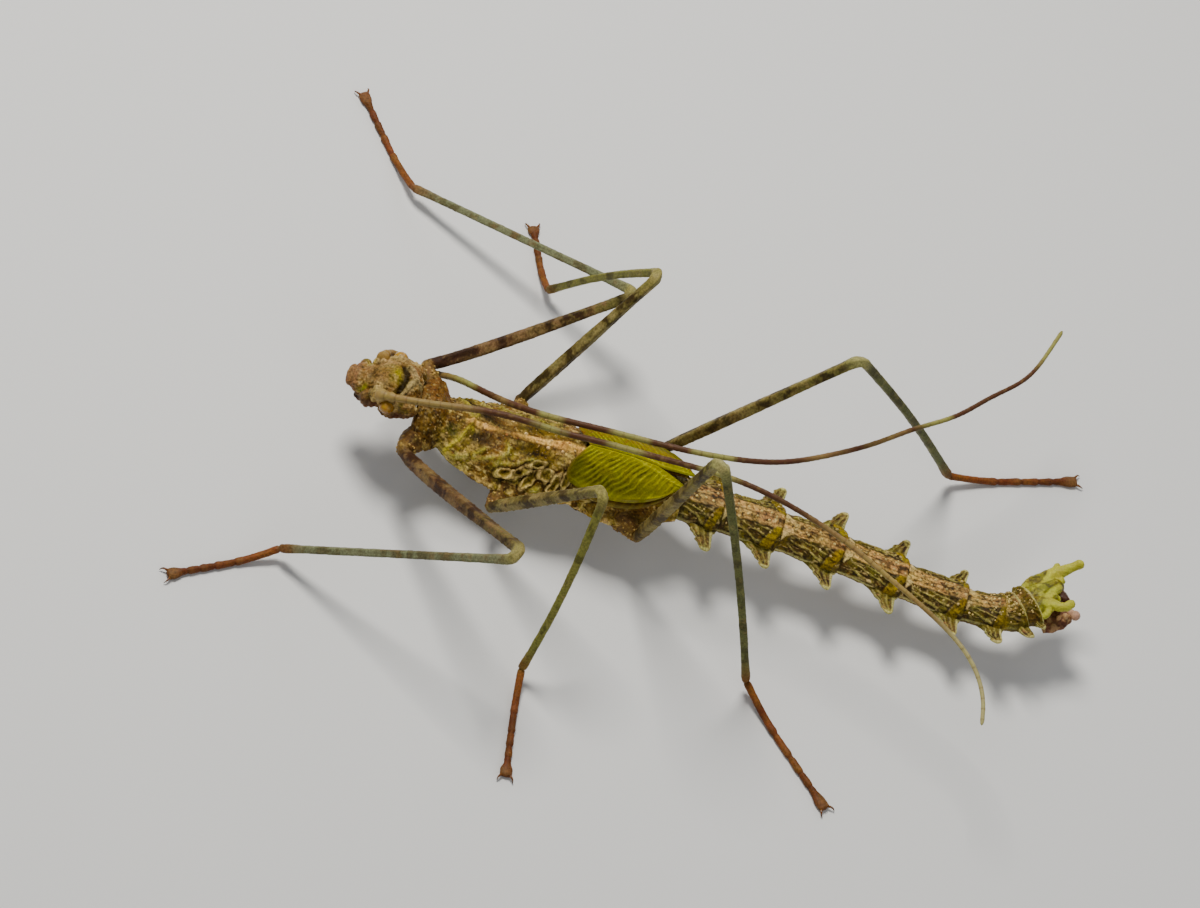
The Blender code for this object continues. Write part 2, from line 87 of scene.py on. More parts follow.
def grains(points, size, seed=1):
    # rounded granules: 1 at each grain's middle, 0 between grains
    p = points / size
    low = np.floor(p).astype(np.int64)
    nearest = np.full(p.shape[:-1], 9.0)
    for dx in (-1, 0, 1):
        for dy in (-1, 0, 1):
            for dz in (-1, 0, 1):
                cx, cy, cz = low[..., 0] + dx, low[..., 1] + dy, low[..., 2] + dz
                gap = (cx + 0.15 + 0.7 * cellValue(cx, cy, cz, seed) - p[..., 0]) ** 2
                gap = gap + (cy + 0.15 + 0.7 * cellValue(cx, cy, cz, seed + 5) - p[..., 1]) ** 2
                gap = gap + (cz + 0.15 + 0.7 * cellValue(cx, cy, cz, seed + 9) - p[..., 2]) ** 2
                nearest = np.minimum(nearest, gap)
    return np.clip(1 - np.sqrt(nearest) * 1.25, 0, 1)


def through(points, t):
    # smooth curve through rows of numbers, read at t counted in rows
    points = np.asarray(points, float)
    t = np.clip(np.asarray(t, float), 0, len(points) - 1)
    low = np.minimum(t.astype(int), len(points) - 2)
    f = (t - low)[..., None]
    a, b, c, d = (points[np.clip(low + k, 0, len(points) - 1)] for k in (-1, 0, 1, 2))
    bend, twist = 2 * a - 5 * b + 4 * c - d, 3 * b - a - 3 * c + d
    return 0.5 * (2 * b + (c - a) * f + bend * f * f + twist * f ** 3)


def travelled(points):
    # distance along a line at each of its points
    return np.concatenate(([0.0], np.cumsum(np.linalg.norm(np.diff(points, axis=0), axis=1))))


def evenly(points, spacing):
    # the same line with points a fixed distance apart, and how far along each one lies
    points = np.asarray(points, float)
    lengths = travelled(points)
    count = max(int(round(lengths[-1] / spacing)), 2) + 1
    wanted = np.linspace(0, lengths[-1], count)
    return np.stack([np.interp(wanted, lengths, column) for column in points.T], axis=1), wanted


def lineDistance(x, y, corners):
    # distance in plan from a bent line, and how far along it
    best = np.full(np.shape(x), 99.0)
    place = np.zeros(np.shape(x))
    for i, (a, b) in enumerate(zip(corners, corners[1:])):
        dx, dy = b[0] - a[0], b[1] - a[1]
        t = np.clip(((x - a[0]) * dx + (y - a[1]) * dy) / (dx * dx + dy * dy), 0, 1)
        gap = np.hypot(x - a[0] - t * dx, y - a[1] - t * dy)
        place = np.where(gap < best, (i + t) / (len(corners) - 1), place)
        best = np.minimum(best, gap)
    return best, place


def roundTurns(count):
    # angles once round, the last the same as the first
    turns = np.linspace(0, 2 * np.pi, count + 1)
    turns[-1] = 0.0
    return turns


def bodyTurns(count, crowd):
    # angles once round the body, unevenly spread by crowd
    t = np.linspace(0, 1, count + 1)
    turns = 2 * np.pi * t - crowd * np.sin(4 * np.pi * t)
    turns[-1] = turns[0]
    return turns


def dab(paint, colour, mask):
    paint += (np.asarray(colour) - paint) * np.clip(mask, 0, 1)[..., None]


def startPaint(points, colours, base):
    # an even coat of one colour, and the brush that lays the piece's other colours over it
    paint = np.empty(points.shape)
    paint[:] = colours[base]

    def put(label, mask):
        dab(paint, colours[label], mask)

    return paint, put


def newBuild():
    return {"shell": bmesh.new(), "places": [], "paints": []}


def addGrid(build, places, paint):
    # places is rows x columns x 3, in mm; a closed ring repeats its first column at the end
    rows, columns = places.shape[:2]
    bmesh.ops.create_grid(build["shell"], x_segments=columns - 1, y_segments=rows - 1, size=1.0)
    build["places"].append(places.reshape(-1, 3))
    build["paints"].append(np.broadcast_to(paint, places.shape).reshape(-1, 3))


def roundBall(rows, turns):
    lat = np.linspace(0, np.pi, rows)[:, None]
    ball = np.sin(lat) * np.cos(turns), np.sin(lat) * np.sin(turns), np.cos(lat) + 0 * turns
    return np.stack(ball, axis=-1)


def addBeads(build, centres, outwards, sizes, colours, squash=0.8):
    # small rounded warts of some forty faces each
    ball = roundBall(6, roundTurns(8))
    for centre, outward, size, colour in zip(centres, outwards, sizes, colours):
        flat = ball - (ball @ outward)[..., None] * outward * (1 - squash)
        addGrid(build, closeEnds(centre + flat * size), colour)


def melted(lumps, lines, voxel, passes):
    # swellings and thick lines melted into one closed skin; returns the mesh, its points and normals
    shell = bmesh.new()
    for centre, radii in lumps:
        made = bmesh.ops.create_uvsphere(shell, u_segments=32, v_segments=20, radius=1.0)
        bmesh.ops.scale(shell, vec=radii, verts=made["verts"])
        bmesh.ops.translate(shell, vec=centre, verts=made["verts"])
    for line in lines:
        line = np.asarray(line, float)
        length = np.linalg.norm(np.diff(line[:, :3], axis=0), axis=1).sum()
        count = int(length / (0.22 * line[:, 3].mean())) + 2
        for spot in through(line, np.linspace(0, len(line) - 1, count)):
            made = bmesh.ops.create_icosphere(shell, subdivisions=3, radius=spot[3])
            bmesh.ops.translate(shell, vec=spot[:3], verts=made["verts"])
    mesh = bpy.data.meshes.new("lumps")
    shell.to_mesh(mesh)
    shell.free()
    rough = bpy.data.objects.new("lumps", mesh)
    bpy.context.scene.collection.objects.link(rough)
    melt = rough.modifiers.new("melt", "REMESH")
    melt.mode = "VOXEL"
    melt.voxel_size = voxel
    skin = bpy.data.meshes.new_from_object(rough.evaluated_get(bpy.context.evaluated_depsgraph_get()))
    bpy.data.objects.remove(rough)
    bpy.data.meshes.remove(mesh)
    shell = bmesh.new()
    shell.from_mesh(skin)
    for _ in range(passes):
        bmesh.ops.smooth_vert(
            shell, verts=shell.verts, factor=0.5, use_axis_x=True, use_axis_y=True, use_axis_z=True)
    shell.normal_update()
    shell.to_mesh(skin)
    shell.free()
    point = np.empty(len(skin.vertices) * 3)
    skin.vertices.foreach_get("co", point)
    normal = np.empty(len(point))
    skin.vertex_normals.foreach_get("vector", normal)
    return skin, point.reshape(-1, 3), normal.reshape(-1, 3)


def paintMesh(mesh, places, paints):
    mesh.vertices.foreach_set("co", ((places + bodyOrigin) * mm).ravel())
    layer = mesh.attributes.new("paint", "FLOAT_COLOR", "POINT")
    layer.data.foreach_set("color", np.concatenate((paints, np.ones((len(paints), 1))), axis=1).ravel())


def finishMesh(mesh, name, surface, nodes):
    mesh.polygons.foreach_set("use_smooth", np.ones(len(mesh.polygons), bool))
    mesh.update()
    mesh.materials.clear()
    mesh.materials.append(surface)
    piece = bpy.data.objects.new(name, mesh)
    bpy.context.scene.collection.objects.link(piece)
    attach(piece, "root")
    if nodes:
        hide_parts(*nodes)
    print(name, sum(len(face.vertices) - 2 for face in mesh.polygons), "triangles")


def finishBuild(build, name, surface, nodes):
    mesh = bpy.data.meshes.new(name)
    build["shell"].to_mesh(mesh)
    build["shell"].free()
    paintMesh(mesh, np.concatenate(build["places"]), np.concatenate(build["paints"]))
    shell = bmesh.new()
    shell.from_mesh(mesh)
    bmesh.ops.remove_doubles(shell, verts=shell.verts, dist=2e-7)
    bmesh.ops.recalc_face_normals(shell, faces=shell.faces)
    shell.to_mesh(mesh)
    shell.free()
    finishMesh(mesh, name, surface, nodes)


def ringGrid(centres, sides, ups, wide, tall, turns):
    # round grid with one ring for each centre
    c, s = np.cos(turns), np.sin(turns)
    return centres[:, None] + sides[:, None] * (wide * c)[..., None] + ups[:, None] * (tall * s)[..., None]


def tubeFrames(path, up):
    along = unit(np.gradient(path, axis=0))
    up = np.broadcast_to(np.asarray(up, float), path.shape)
    side = unit(np.cross(along, up))
    return side, np.cross(side, along)


def closeEnds(places):
    # pulls the first and last ring to a point so that no hole is left
    for row in (0, -1):
        places[row] = places[row].mean(axis=0)
    return places


skins = {
    # roughness, grain size and depth in mm, strength of the grain's tint, clear coat, gloss
    "barkSkin": (0.56, 0.30, 0.08, 0.46, 0.0, 0.12),
    "segmentSkin": (0.54, 0.28, 0.07, 0.46, 0.0, 0.14),
    "legSkin": (0.54, 0.26, 0.05, 0.34, 0.0, 0.14),
    "wingSkin": (0.62, 0.22, 0.05, 0.20, 0.0, 0.08),
    "feelerSkin": (0.55, 0.20, 0.03, 0.12, 0.0, 0.28),
    "tailSkin": (0.50, 0.24, 0.05, 0.20, 0.0, 0.25),
    "eyeSkin": (0.24, 0.09, 0.015, 0.08, 0.5, 0.28),
    "clawHorn": (0.3, 0.1, 0.01, 0.1, 0.3, 0.28),
}


def addNode(tree, kind, **values):
    # a node with its numbers set; an underscore in a name stands for a space
    node = tree.nodes.new("ShaderNode" + kind)
    for socket, value in values.items():
        node.inputs[socket.replace("_", " ")].default_value = value
    return node


def spreadNoise(tree, noise, low, high):
    # the middle of a noise's range, spread from low to high
    spread = addNode(tree, "MapRange", From_Min=0.3, From_Max=0.7, To_Min=low, To_Max=high)
    tree.links.new(noise.outputs["Fac"], spread.inputs["Value"])
    return spread.outputs["Result"]


def paintedSkin(name, rough, grainSize, grainDepth, tint, coat, gloss):
    material = bpy.data.materials.new(name)
    material.use_nodes = True
    tree = material.node_tree
    link = tree.links.new
    shader = tree.nodes["Principled BSDF"]
    shader.inputs["Coat Weight"].default_value = coat
    shader.inputs["Coat Roughness"].default_value = 0.25
    shader.inputs["Specular IOR Level"].default_value = gloss
    place = addNode(tree, "TexCoord").outputs["Object"]
    paint = addNode(tree, "Attribute")
    paint.attribute_name = "paint"
    fine = addNode(tree, "TexNoise", Scale=1000.0 / grainSize, Detail=5.0, Roughness=0.65)
    broad = addNode(tree, "TexNoise", Scale=1000.0 / (grainSize * 6), Detail=3.0)
    pits = addNode(tree, "TexVoronoi", Scale=1000.0 / (grainSize * 1.3))
    for texture in (fine, broad, pits):
        link(place, texture.inputs["Vector"])
    shade = addNode(tree, "VectorMath")
    shade.operation = "SCALE"
    link(paint.outputs["Color"], shade.inputs[0])
    link(spreadNoise(tree, fine, 1.0 - tint * 1.6, 1.0 + tint), shade.inputs["Scale"])
    warm = addNode(tree, "HueSaturation", Saturation=1.09, Value=0.95)
    link(spreadNoise(tree, broad, 0.488, 0.512), warm.inputs["Hue"])
    link(shade.outputs["Vector"], warm.inputs["Color"])
    link(warm.outputs["Color"], shader.inputs["Base Color"])
    link(spreadNoise(tree, fine, rough - 0.12, rough + 0.12), shader.inputs["Roughness"])
    height = addNode(tree, "Math")
    height.operation = "MULTIPLY_ADD"
    height.inputs[1].default_value = -0.6
    link(pits.outputs["Distance"], height.inputs[0])
    link(fine.outputs["Fac"], height.inputs[2])
    bump = addNode(tree, "Bump", Strength=0.8, Distance=grainDepth * mm)
    link(height.outputs["Value"], bump.inputs["Height"])
    link(bump.outputs["Normal"], shader.inputs["Normal"])
    return material


surfaces = {name: paintedSkin(name, *values) for name, values in skins.items()}
print("skins ready")


abdomen = {
    "ends": ((8.9, 0.2, 8.9), (14.6, 0.2, 8.8), (22.7, 0.2, 8.6), (31.4, 0.1, 8.2), (40.3, -0.3, 7.5),
             (49.0, -0.7, 7.2), (54.3, -0.7, 7.8), (56.2, 0.2, 8.3), (57.6, 1.4, 8.6), (61.4, 4.4, 9.8)),
    "half": (3.6, 3.4, 3.2, 3.1, 2.95, 2.85, 2.85, 3.0, 3.2, 3.6),
    "roll": (0, 0, 0, 0, 2, 8, 16, 22, 22, 22),
    "leftLobes": (3.4, 3.1, 3.0, 3.0, 2.9, 2.8, 2.0, 1.1),
    "rightLobes": (3.6, 3.2, 3.1, 3.1, 2.7, 0.5, 0.0, 0.0),
    "rows": 380, "columns": 224,
    "dark": (0.062, 0.041, 0.008), "brown": (0.115, 0.058, 0.016), "olive": (0.175, 0.142, 0.022),
    "band": (0.68, 0.430, 0.150), "bandRear": (0.36, 0.175, 0.075), "chevron": (0.72, 0.54, 0.23),
    "line": (0.026, 0.014, 0.003), "ochre": (0.29, 0.200, 0.020), "ochreDark": (0.095, 0.066, 0.006),
    "streak": (0.46, 0.385, 0.115), "bead": (0.90, 0.68, 0.28), "rim": (0.66, 0.60, 0.23),
    "lobe": (0.13, 0.070, 0.024), "under": (0.18, 0.115, 0.04), "rear": (0.135, 0.100, 0.012),
    "lobeWarm": (0.42, 0.21, 0.09),
    # how far along a segment, and the swelling there
    "swellAt": (0.0, 0.05, 0.3, 0.56, 0.85, 0.96, 1.0), "swellBy": (0.92, 0.87, 0.88, 0.94, 1.04, 1.06, 0.99),
    "bandAt": (0, 0.08, 0.2, 0.6, 0.9, 1.0), "bandWidth": (0.60, 0.48, 0.42, 0.38, 0.33, 0.28),
}


def trunkFrame(u):
    # middle of the abdomen, and which way is sideways and up there
    ends = abdomen["ends"]
    centre = through(ends, u)
    along = unit(through(ends, u + 0.02) - through(ends, u - 0.02))
    roll = np.radians(through(np.array(abdomen["roll"], float)[:, None], u)[..., 0])
    level = unit(np.stack((-along[..., 1], along[..., 0], np.zeros_like(roll)), axis=-1))
    rise = np.cross(along, level)
    side = level * np.cos(roll)[..., None] - rise * np.sin(roll)[..., None]
    up = rise * np.cos(roll)[..., None] + level * np.sin(roll)[..., None]
    return centre, side, up


def halfWidth(u):
    return through(np.array(abdomen["half"])[:, None], u)[..., 0]


def abdomenSkin(u, turn):
    # point and outward direction u segments along and at an angle round, and how far into the segment
    centre, side, up = trunkFrame(u)
    s = u - np.floor(np.clip(u, 0, 7.9999))
    half = halfWidth(u) * np.interp(s, abdomen["swellAt"], abdomen["swellBy"])
    c, sn = np.cos(turn), np.sin(turn)
    top = half * 0.74 + 0.10 * hill(half * c, 0, 0.45) - 0.05 * hill(np.abs(half * c), 0.75, 0.22)
    z = np.where(sn > 0, top, half * 0.70) * sn
    outward = unit(side * c[..., None] + up * (sn * 1.25)[..., None])
    point = centre + side * (half * c)[..., None] + up * z[..., None]
    return point, outward, s


def rearPatch(s, w):
    # the slanting ochre patch at each segment's rear corner
    slant = np.abs(s - 0.965 + 0.15 * (w - 0.3) / 0.7)
    return step(0.075 + 0.02 * w - slant, 0.0, 0.025) * step(w, 0.28, 0.34)


def flankStreak(point, s, w, n):
    # pale folds that slant back and outward along the flank
    wave = np.sin((w - 0.40 * s) * 31 + n + 2.4 * cloud(point, 1.4, 31, 2))
    return (step(wave, 0.30, 0.95) * step(w, 0.44, 0.54) * (1 - step(w, 0.94, 1.0))
            * step(s, 0.10, 0.22) * (1 - step(s, 0.86, 0.96)))


def frontFlap(s, w):
    # small pale flap at each segment's front corner
    front = step(0.15 - 0.24 * (w - 0.36) - s, 0.0, 0.03) * step(s, 0.015, 0.035)
    return front * step(w, 0.34, 0.40) * (1 - step(w, 0.70, 0.85))


def abdomenRelief(u, turn, point, s):
    n = np.floor(np.clip(u, 0, 7.9999))
    w = np.abs(np.cos(turn))
    top = step(np.sin(turn), -0.1, 0.2)
    lip = 0.06 * step(s, 0.90, 0.97) * step(1.0 - s, 0.0, 0.01)
    groove = -0.11 * hill(s, 0.0, 0.022) - 0.05 * hill(s, 0.13, 0.03)
    granular = 0.5 + 0.5 * cloud(point, 2.0, 9, 1)
    rough = 0.12 * cloud(point, 0.8, 3, 4) + 0.09 * grains(point, 0.40, 8) * granular
    ridges = 0.08 * hill(w, 0.21, 0.05) + 0.09 * hill(w, 0.40, 0.05) - 0.06 * hill(w, 0.0, 0.04)
    fold = 0.22 * hill(w, 0.90 + 0.05 * np.sin(s * 3.1), 0.07) * hill(s, 0.72, 0.25)
    keel = 0.10 * hill(w, 1.0, 0.012)
    raised = 0.17 * flankStreak(point, s, w, n) + 0.11 * rearPatch(s, w) + 0.10 * frontFlap(s, w)
    return lip + groove + rough + keel + top * (raised + ridges + fold)


def abdomenPaint(u, turn, point, s):
    n = np.floor(np.clip(u, 0, 7.9999))
    mottle, middle, fine = cloud(point, 1.3, 4, 3), cloud(point, 0.7, 12, 3), cloud(point, 0.32, 6, 2)
    plainW = np.abs(np.cos(turn))
    w = plainW + 0.035 * middle + 0.02 * fine
    streak = flankStreak(point, s, w, n)
    flecks = cloud(point, 0.40, 18, 2)
    paint, put = startPaint(point, abdomen, "dark")
    put("brown", step(middle + 0.4 * mottle, -0.1, 0.3) * 0.8)
    put("olive", step(cloud(point, 1.0, 14, 3), -0.1, 0.25) * 0.75)
    put("streak", step(middle + 0.7 * fine, 0.25, 0.6) * 0.45)
    put("line", step(-middle + 0.7 * fine, 0.22, 0.5) * 0.8 * (1 - streak))
    put("ochre", step(cloud(point, 0.9, 17, 3), 0.18, 0.45) * 0.4)
    # painted shade along the edges of the raised pale flank folds
    put("line", 0.55 * hill(streak, 0.25, 0.2) * step(w, 0.48, 0.56))
    put("streak", streak * (0.75 + 0.5 * fine))
    crumple = cloud(point * (0.45, 1.0, 1.0), 0.9, 19, 2)
    # painted shadow to one side of the pale crumpled lines
    put("line", hill(crumple, -0.12, 0.06) * 0.7)
    put("chevron", hill(crumple, 0, 0.05) * step(fine, -0.3, 0.2) * 0.75)
    bandEdge = np.interp(s, abdomen["bandAt"], abdomen["bandWidth"]) + 0.12 * cloud(point, 0.9, 15, 3)
    inBand = 1 - step(w, bandEdge - 0.04, bandEdge + 0.03)
    put("line", hill(w, bandEdge + 0.07, 0.040) * 0.8 * step(s, 0.1, 0.3) * step(middle, -0.4, 0.0))
    put("band", inBand)
    put("bandRear", inBand * step(s + 0.35 * mottle, 0.35, 0.95) * 0.8)
    put("brown", inBand * step(middle + 0.5 * fine, 0.08, 0.40) * 0.8)
    put("line", inBand * step(flecks, 0.16, 0.38) * 0.85)
    put("chevron", inBand * step(-flecks, 0.25, 0.5) * 0.8)
    put("band", 0.8 * inBand * hill(w, bandEdge - 0.07, 0.05) * step(fine, -0.5, 0.0))
    put("chevron", inBand * (1 - step(s + 0.16 * mottle, 0.06, 0.20)) * step(w, 0.10, 0.25) * 0.85)
    wiggle = 0.035 * cloud(point, 0.9, 16, 2)
    put("line", 0.8 * hill(w, 0.22 + wiggle, 0.028) * step(s, 0.08, 0.2) * step(middle, -0.2, 0.1))
    put("line", 0.8 * hill(w, 0.33 + wiggle, 0.025) * step(s, 0.15, 0.4) * step(-middle, -0.05, 0.2))
    put("line", 0.8 * hill(plainW, np.abs(wiggle) * 0.6, 0.035))
    put("line", inBand * hill(crumple, 0.16, 0.06) * 0.75)
    patch = rearPatch(s, w)
    slant = s - 0.855 + 0.15 * (w - 0.3) / 0.7
    put("line", 0.8 * hill(slant, 0, 0.025) * step(w, 0.32, 0.42) * (1 - patch))
    put("ochre", patch)
    put("ochreDark", patch * step(fine + 0.6 * middle, 0.02, 0.4) * 0.85)
    flap = frontFlap(s, w)
    # painted shadow round each pale front flap
    put("line", 0.8 * step(flap, 0.05, 0.3))
    put("chevron", step(flap, 0.35, 0.7))
    put("rim", 0.6 * hill(plainW, 1.0, 0.006))
    put("line", 0.6 * hill(s, 0.0, 0.010))
    put("under", (1 - step(np.sin(turn), -0.35, -0.05)) * (0.8 + 0.2 * mottle))
    rear = step(u, 6.0, 6.4)
    light = 1 + 0.25 * hill(u, 3.0, 1.2) - 0.20 * step(u, 4.6, 5.4) - 0.22 * (1 - step(u, 0.8, 2.0))
    paint *= light[..., None]
    put("rear", rear * step(middle, -0.4, 0.2) * 0.8)
    put("brown", rear * step(-mottle, 0.0, 0.35) * 0.7)
    put("ochre", hill(u, 6.02, 0.10) * step(middle, -0.5, 0.1) * 0.8)
    put("rim", step(u, 6.5, 7.0) * step(s, 0.90, 0.96) * 0.9)
    return paint


def makeAbdomen():
    part = abdomen
    beads = []      # how far along in segments, how far across, and size
    for n in range(7):
        for mark in (-1, 1):
            for k in range(4):
                at = n + 0.22 + 0.19 * k + chance.uniform(-0.03, 0.03)
                beads.append((at, mark * (0.15 + 0.03 * (k % 2)), 0.21))
            for k in range(2):
                at = n + 0.62 + 0.22 * k + chance.uniform(-0.03, 0.03)
                beads.append((at, mark * chance.uniform(0.60, 0.68), chance.uniform(0.17, 0.25)))
            for _ in range(5):
                at = n + chance.uniform(0.1, 0.9)
                beads.append((at, mark * chance.uniform(0.25, 0.93), chance.uniform(0.08, 0.16)))
    for _ in range(60):
        beads.append((chance.uniform(5.1, 7.95), chance.uniform(-0.95, 0.9), chance.uniform(0.08, 0.19)))
    beads = np.array(beads)
    turns = np.arccos(np.clip(beads[:, 1], -1, 1))
    point, outward, s = abdomenSkin(beads[:, 0], turns)
    point = point + outward * (abdomenRelief(beads[:, 0], turns, point, s) * 0.8)[:, None]
    tone = chance.uniform(0.45, 1.0, (len(beads), 1)) * np.array(part["bead"])
    build = newBuild()
    addBeads(build, point, outward, beads[:, 2], tone)

    for n in range(8):
        for mark, lobes in ((-1, part["leftLobes"]), (1, part["rightLobes"])):
            if lobes[n] > 0.3:
                addLobe(build, n, mark, lobes[n])
    finishBuild(build, "abdomenFins", surfaces["segmentSkin"], [])

    build = newBuild()
    fineU = np.linspace(-0.05, 8.06, 2000)
    lengths = travelled(trunkFrame(fineU)[0])
    u = np.interp(np.linspace(0, lengths[-1], part["rows"]), lengths, fineU)
    uu, tt = np.meshgrid(u, bodyTurns(part["columns"], 0.22), indexing="ij")
    point, outward, s = abdomenSkin(uu, tt)
    point = point + outward * abdomenRelief(uu, tt, point, s)[..., None]
    addGrid(build, closeEnds(point), abdomenPaint(uu, tt, point, s))
    segments = ["abdomen_%d" % (n + 1) for n in range(8)]
    finishBuild(build, "abdomen", surfaces["segmentSkin"], segments)


def addLobe(build, n, mark, reach):
    # fin at a segment's rear corner: slanting toothed front edge, steep rear edge, round pale tip
    part = abdomen
    rows, columns = 54, 60
    bb, rr = np.meshgrid(np.linspace(0, 1, rows), roundTurns(columns), indexing="ij")
    length = np.linalg.norm(np.subtract(part["ends"][n + 1], part["ends"][n]))
    base = min(0.60 * length, 4.6) * (0.95 if mark > 0 else 1.0)
    narrow = 1.30 if n < 6 else 0.95
    across = np.sign(np.cos(rr)) * np.abs(np.cos(rr)) ** 0.8
    spread = narrow + (base - narrow) * (1 - bb) ** (1.7 if n < 6 else 2.6)
    tip = np.sqrt(np.clip(1 - np.clip((bb - 0.80) / 0.20, 0, 1) ** 2, 0, 1))
    seat = 1 + 0.9 * np.clip(0.16 - bb, 0, 1)
    teeth = 0.11 * np.sin(bb * reach * 5.4 + n * 2.1 + mark) + 0.08 * np.sin(bb * reach * 11.0 + n)
    teeth = teeth * step(bb, 0.15, 0.35) * (1 - step(bb, 0.8, 0.9)) * (across < -0.5) * (n < 6)
    rear = 0.975 * length - 0.35 * np.sin(bb * np.pi) * 0.5 + 0.10 * bb
    x = rear - spread / 2 + across * seat * spread / 2 * tip + teeth
    u = n + x / length
    centre, side, up = trunkFrame(u)
    half = halfWidth(u)
    out = half * 0.80 + (reach + half * 0.20) * bb
    rim = np.maximum(step(across, 0.60, 0.78), step(bb, 0.86, 0.92))
    rim = np.maximum(rim, step(-across, 0.84, 0.93) * 0.7) * step(bb, 0.18, 0.34)
    thick = (0.65 * (1 - bb) ** 2 + 0.16 + 0.10 * rim) * (0.35 + 0.65 * tip)
    z = np.sign(np.sin(rr)) * np.abs(np.sin(rr)) ** 0.6 * thick
    bent = 2.5 * cloud(np.stack((x, out, z), axis=-1), 0.9, 24, 2)
    ribs = 0.045 * np.sin(across * 9 + bent) * step(np.sin(rr), 0.0, 0.5) * (1 - rim)
    droop = reach * bb * (0.10 if mark < 0 else 0.30) + 0.30 * step(across, 0.0, 1.0) * bb * (1 - bb) * 2
    point = centre + side * (mark * out)[..., None] + up * (z + ribs - 0.35 + droop)[..., None]
    point = point + up * (0.07 * cloud(point, 0.45, 21, 3))[..., None]
    middle, fine = cloud(point, 0.6, 22, 3), cloud(point, 0.3, 23, 2)
    paint, put = startPaint(point, part, "lobe")
    put("line", step(middle, 0.0, 0.3) * 0.8)
    put("olive", (1 - step(bb + 0.3 * middle, 0.25, 0.7)) * 0.85)
    put("streak", step(ribs, 0.012, 0.035) * 0.55 * (1 - step(bb, 0.7, 0.9)))
    put("streak", step(bb + 0.3 * fine, 0.65, 0.9) * 0.6)
    put("lobeWarm", step(fine, 0.25, 0.5) * step(-across, 0.2, 0.6) * step(bb, 0.2, 0.4) * 0.8)
    put("rim", rim * (0.85 + 0.3 * fine))
    addGrid(build, closeEnds(point), paint)


makeAbdomen()


